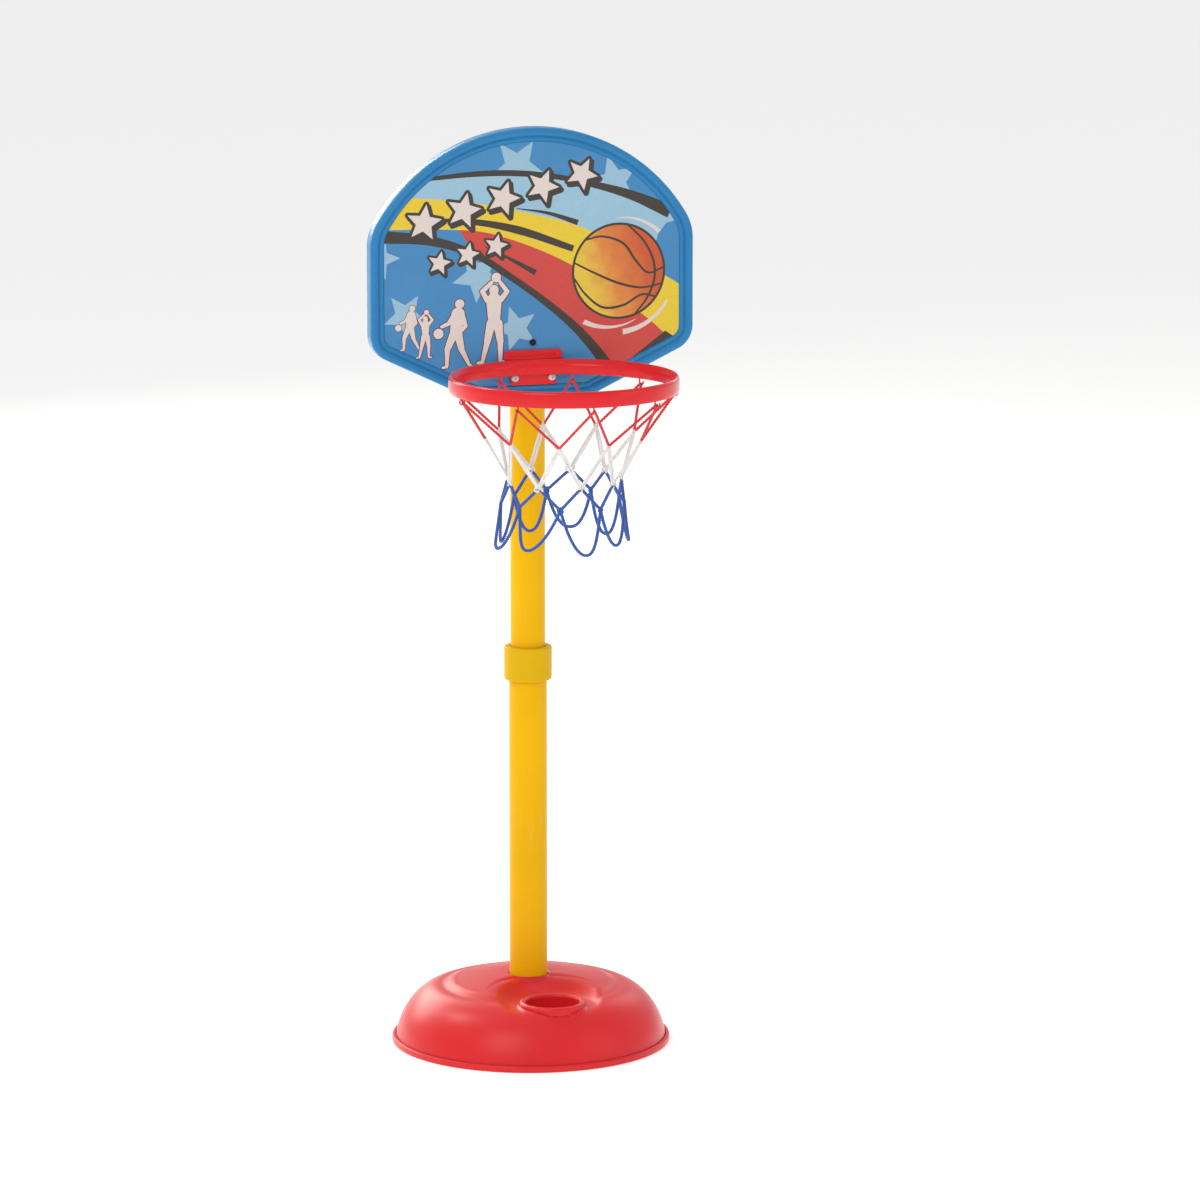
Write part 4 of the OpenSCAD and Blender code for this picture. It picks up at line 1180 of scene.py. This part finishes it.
def screw_shape(head_r, head_h, shank_r, length, material):
    """A pan head with a cross recess on a threaded shank, with the head's seat at zero."""
    head = turned("screw_shape", [(0, -0.4), (head_r - 0.4, -0.4), (head_r - 0.1, 0.1), (head_r, 0.5),
                                  (head_r - 0.25, 0.5 * head_h), (head_r * 0.72, 0.85 * head_h),
                                  (head_r * 0.35, 0.98 * head_h), (0, head_h)],
                  (0, 0, 0), (0, 0, 1), material, 40)
    arm, half = head_r * 0.52, head_r * 0.13
    for turn in (0, 1):
        wide, thin = (arm, half) if turn == 0 else (half, arm)
        corners = [(wide * MM, thin * MM), (-wide * MM, thin * MM), (-wide * MM, -thin * MM),
                   (wide * MM, -thin * MM)]
        low, high = 0.35 * head_h * MM, 2 * head_h * MM
        verts = [(x * s, y * s, z) for z, s in ((low, 0.7), (high, 1.15)) for x, y in corners]
        faces = [(0, 1, 2, 3), (7, 6, 5, 4), (0, 4, 5, 1), (1, 5, 6, 2), (2, 6, 7, 3), (3, 7, 4, 0)]
        cut(head, turned_right(add_piece("recess", verts, faces, material, smooth=False)))
    return joined("screw_shape", [head, threaded_section(shank_r, length, 1.0, material)])


def make_screws(finishes, scatter):
    """Screws that show: two hold the rim, four hold the clamps, six hold the pan."""
    zinc = finishes["zinc_steel"]

    def group(name, node, body, head, shank_r, length, places, facing, seed):
        shape = screw_shape(*head, shank_r, length, zinc)
        piece = scattered(scatter, name, shape, places, [facing] * len(places), zinc, math.pi / 4, 0, seed)
        hand_over(piece, body, node)

    low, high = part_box("rim_screws")
    head_r, head_h = RIM_HEAD
    x, z = (high.x - low.x) / 2 - head_r * MM, (low.z + high.z) / 2
    group("rim_bolts", "rim_screws", "head", RIM_HEAD, 2, (high.y - low.y) / MM - 2.7,
          [(-x, low.y + head_h * MM, z), (x, low.y + head_h * MM, z)], (0, -1, 0), 2)
    low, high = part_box("clamp_screws")
    head_r, head_h = CLAMP_HEAD
    x = (high.x - low.x) / 2 - head_r * MM
    places = [(side * x, high.y - head_h * MM, z) for side in (-1, 1)
              for z in (low.z + head_r * MM, high.z - head_r * MM)]
    group("clamp_bolts", "clamp_screws", "head", CLAMP_HEAD, 1.9, (high.y - low.y) / MM - 2.7, places,
          (0, 1, 0), 3)
    low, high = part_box("pan_screws")
    head_r, head_h = PAN_HEAD
    ring = high.y - head_r * MM
    turns = [math.radians(60 * i + 30) for i in range(6)]
    places = [(ring * math.cos(a), ring * math.sin(a), low.z + head_h * MM) for a in turns]
    group("pan_bolts", "pan_screws", "base", PAN_HEAD, 1.9, (high.z - low.z) / MM - 2.5, places,
          (0, 0, -1), 4)


# ---- Net ----

HOOKS = 9
STEP = 360 / HOOKS
NET_SEED = 11
# radius and depth under the rim's top of each row of knots, and how far a knot strays
ROWS_MM = {"hook": (135.5, 24.2, 0.0), "red": (95, 76, 1.6), "white": (71, 127, 2.6),
           "blue": (76, 154, 2.6), "loop": (79, 204, 3.5)}

# how much further down, outwards and sideways each loop hangs, from the back round
LOOP_STRAYS_MM = [(-2, 0, 3), (1, 3, -2), (2, 12, 3), (1, 2, 15), (5, 1, -6), (-2, 2, -1), (0, 4, 2),
                  (2, 1, -4), (-3, 3, 1)]


def net_points():
    """The knots of each row, with the small strays that a hand-tied net has."""
    chance = np.random.RandomState(NET_SEED)
    rows = {}
    for index, (row, (radius, depth, stray)) in enumerate(ROWS_MM.items()):
        first = 90 + (STEP / 2 if index % 2 == 0 else 0)
        points = []
        for i in range(HOOKS):
            a = math.radians(first + STEP * i + chance.uniform(-1, 1) * stray * 0.7)
            r = (radius + chance.uniform(-1, 1) * stray) * MM
            z = RIM_TOP - (depth + chance.uniform(-1, 1) * stray) * MM
            points.append(Vector((r * math.cos(a), RIM_Y + r * math.sin(a), z)))
        rows[row] = points
    return rows


def from_axis(point):
    return Vector((point.x, point.y - RIM_Y, 0)).normalized()


def zigzag(tops, bottoms, lead, top_bend, bottom_bend):
    """One closed cord that runs top, bottom, top round the net, with rounded turns.

    The bottom after top i is bottom i + lead.
    """
    stops = []
    for i in range(HOOKS):
        stops.append((tops[i], top_bend))
        stops.append((bottoms[(i + lead) % HOOKS], bottom_bend))
    path = []
    count = len(stops)
    for k, (here, bend) in enumerate(stops):
        before = (stops[k - 1][0] - here).normalized()
        after = (stops[(k + 1) % count][0] - here).normalized()
        for t in np.linspace(0, 1, 9):
            a, b = here + before * bend, here + after * bend
            path.append((1 - t) ** 2 * a + 2 * t * (1 - t) * here + t * t * b)
    return path


def pair(tops, bottoms, lead, apart):
    """Two closed cords side by side along a zigzag, that part between the knots."""
    paths = []
    for side in (-1, 1):
        path = []
        for i in range(HOOKS):
            for a, b in ((tops[i], bottoms[(i + lead) % HOOKS]),
                         (bottoms[(i + lead) % HOOKS], tops[(i + 1) % HOOKS])):
                for t in np.linspace(0, 1, 14, endpoint=False):
                    p = a.lerp(b, t)
                    across = from_axis(p).cross(b - a).normalized()
                    bow = apart * (0.45 + 0.55 * math.sin(math.pi * t))
                    path.append(p + across * side * bow + from_axis(p) * 0.6 * MM * side)
        paths.append(path)
    return paths


def hung_loops(knots, depth, strays):
    """A closed cord that hangs in one deep loop from each knot to the next."""
    path = []
    for i in range(HOOKS):
        a, b = knots[i], knots[(i + 1) % HOOKS]
        for t in np.linspace(0, 1, 30, endpoint=False):
            p = a.lerp(b, t)
            drop = (1 - abs(2 * t - 1) ** 2.2) * (depth + strays[i].x)
            out = from_axis(p) * (4 * MM * math.sin(math.pi * t) + strays[i].y * math.sin(math.pi * t))
            sway = from_axis(p).cross(Vector((0, 0, 1))) * strays[i].z * math.sin(math.pi * t)
            path.append(p + out + sway - Vector((0, 0, drop)))
    return path


def knot_path(size, squash):
    """A tight overhand knot, as a trefoil that is longer than it is wide."""
    path = []
    for i in range(48):
        a = TAU * i / 48
        path.append(Vector((math.sin(a) + 2 * math.sin(2 * a), (math.cos(a) - 2 * math.cos(2 * a)) * squash,
                            -0.8 * math.sin(3 * a))) * size / 3)
    return path


def make_net(finishes, scatter):
    rope = rope_tree()
    rows = net_points()

    def cord(name, paths, radius_mm, slot, **more):
        values = {"Radius": radius_mm * MM, "Groove": 0.18, "Material": finishes[slot]}
        values.update(more)
        return rope.run(chain(name, paths), values)

    def knots(name, row, radius_mm, size_mm, slot, seed):
        values = {"Radius": radius_mm * MM, "Material": finishes[slot], "Sides": 8, "Step": 1.1 * MM,
                  "Lay length": 6 * MM}
        shape = rope.run(chain(name + "_shape", [knot_path(size_mm * MM, 1.15)]), values)
        facings = [from_axis(p) for p in rows[row]]
        return scattered(scatter, name, shape, rows[row], facings, finishes[slot], 0.6, 0.1, seed)

    def finish(piece, slot, node):
        piece.data.shade_smooth()
        hand_over(piece, "head", node)

    red = cord("red_cord", [zigzag(rows["hook"], rows["red"], 1, 2.2 * MM, 3 * MM)], 2.0, "cord_red")
    finish(red, "cord_red", "net_red")

    white = cord("white_cords", pair(rows["red"], rows["white"], 0, 1.7 * MM), 1.8, "cord_white",
                 **{"Lay length": 7 * MM})
    small = knots("white_ties", "red", 1.15, 3.0, "cord_white", 5)
    large = knots("white_knots", "white", 1.6, 4.9, "cord_white", 6)
    finish(joined("white_cord", [white, small, large]), "cord_white", "net_white")

    blue = cord("blue_cords", [zigzag(rows["white"], rows["blue"], 1, 6 * MM, 4 * MM)], 2.4, "cord_blue",
                **{"Lay length": 9 * MM})
    ties = knots("blue_knots", "blue", 1.4, 3.1, "cord_blue", 7)
    finish(joined("blue_cord", [blue, ties]), "cord_blue", "net_blue")

    strays = [Vector(stray) * MM for stray in LOOP_STRAYS_MM]
    depth = (ROWS_MM["loop"][1] - ROWS_MM["blue"][1]) * MM
    loops = cord("blue_loops", [hung_loops(rows["blue"], depth, strays)], 2.45, "cord_blue",
                 **{"Lay length": 9 * MM})
    finish(loops, "cord_blue", "net_loops")


# ---- Everything ----

make_camera()
finishes = make_finishes()
scatter = scatter_tree()
make_net(finishes, scatter)
make_studio()
make_floor()
paint_cad_nodes(finishes)
make_tank(finishes["tank_red"])
make_board(finishes, scatter)
make_print(finishes)
make_rim(finishes)
make_screws(finishes, scatter)
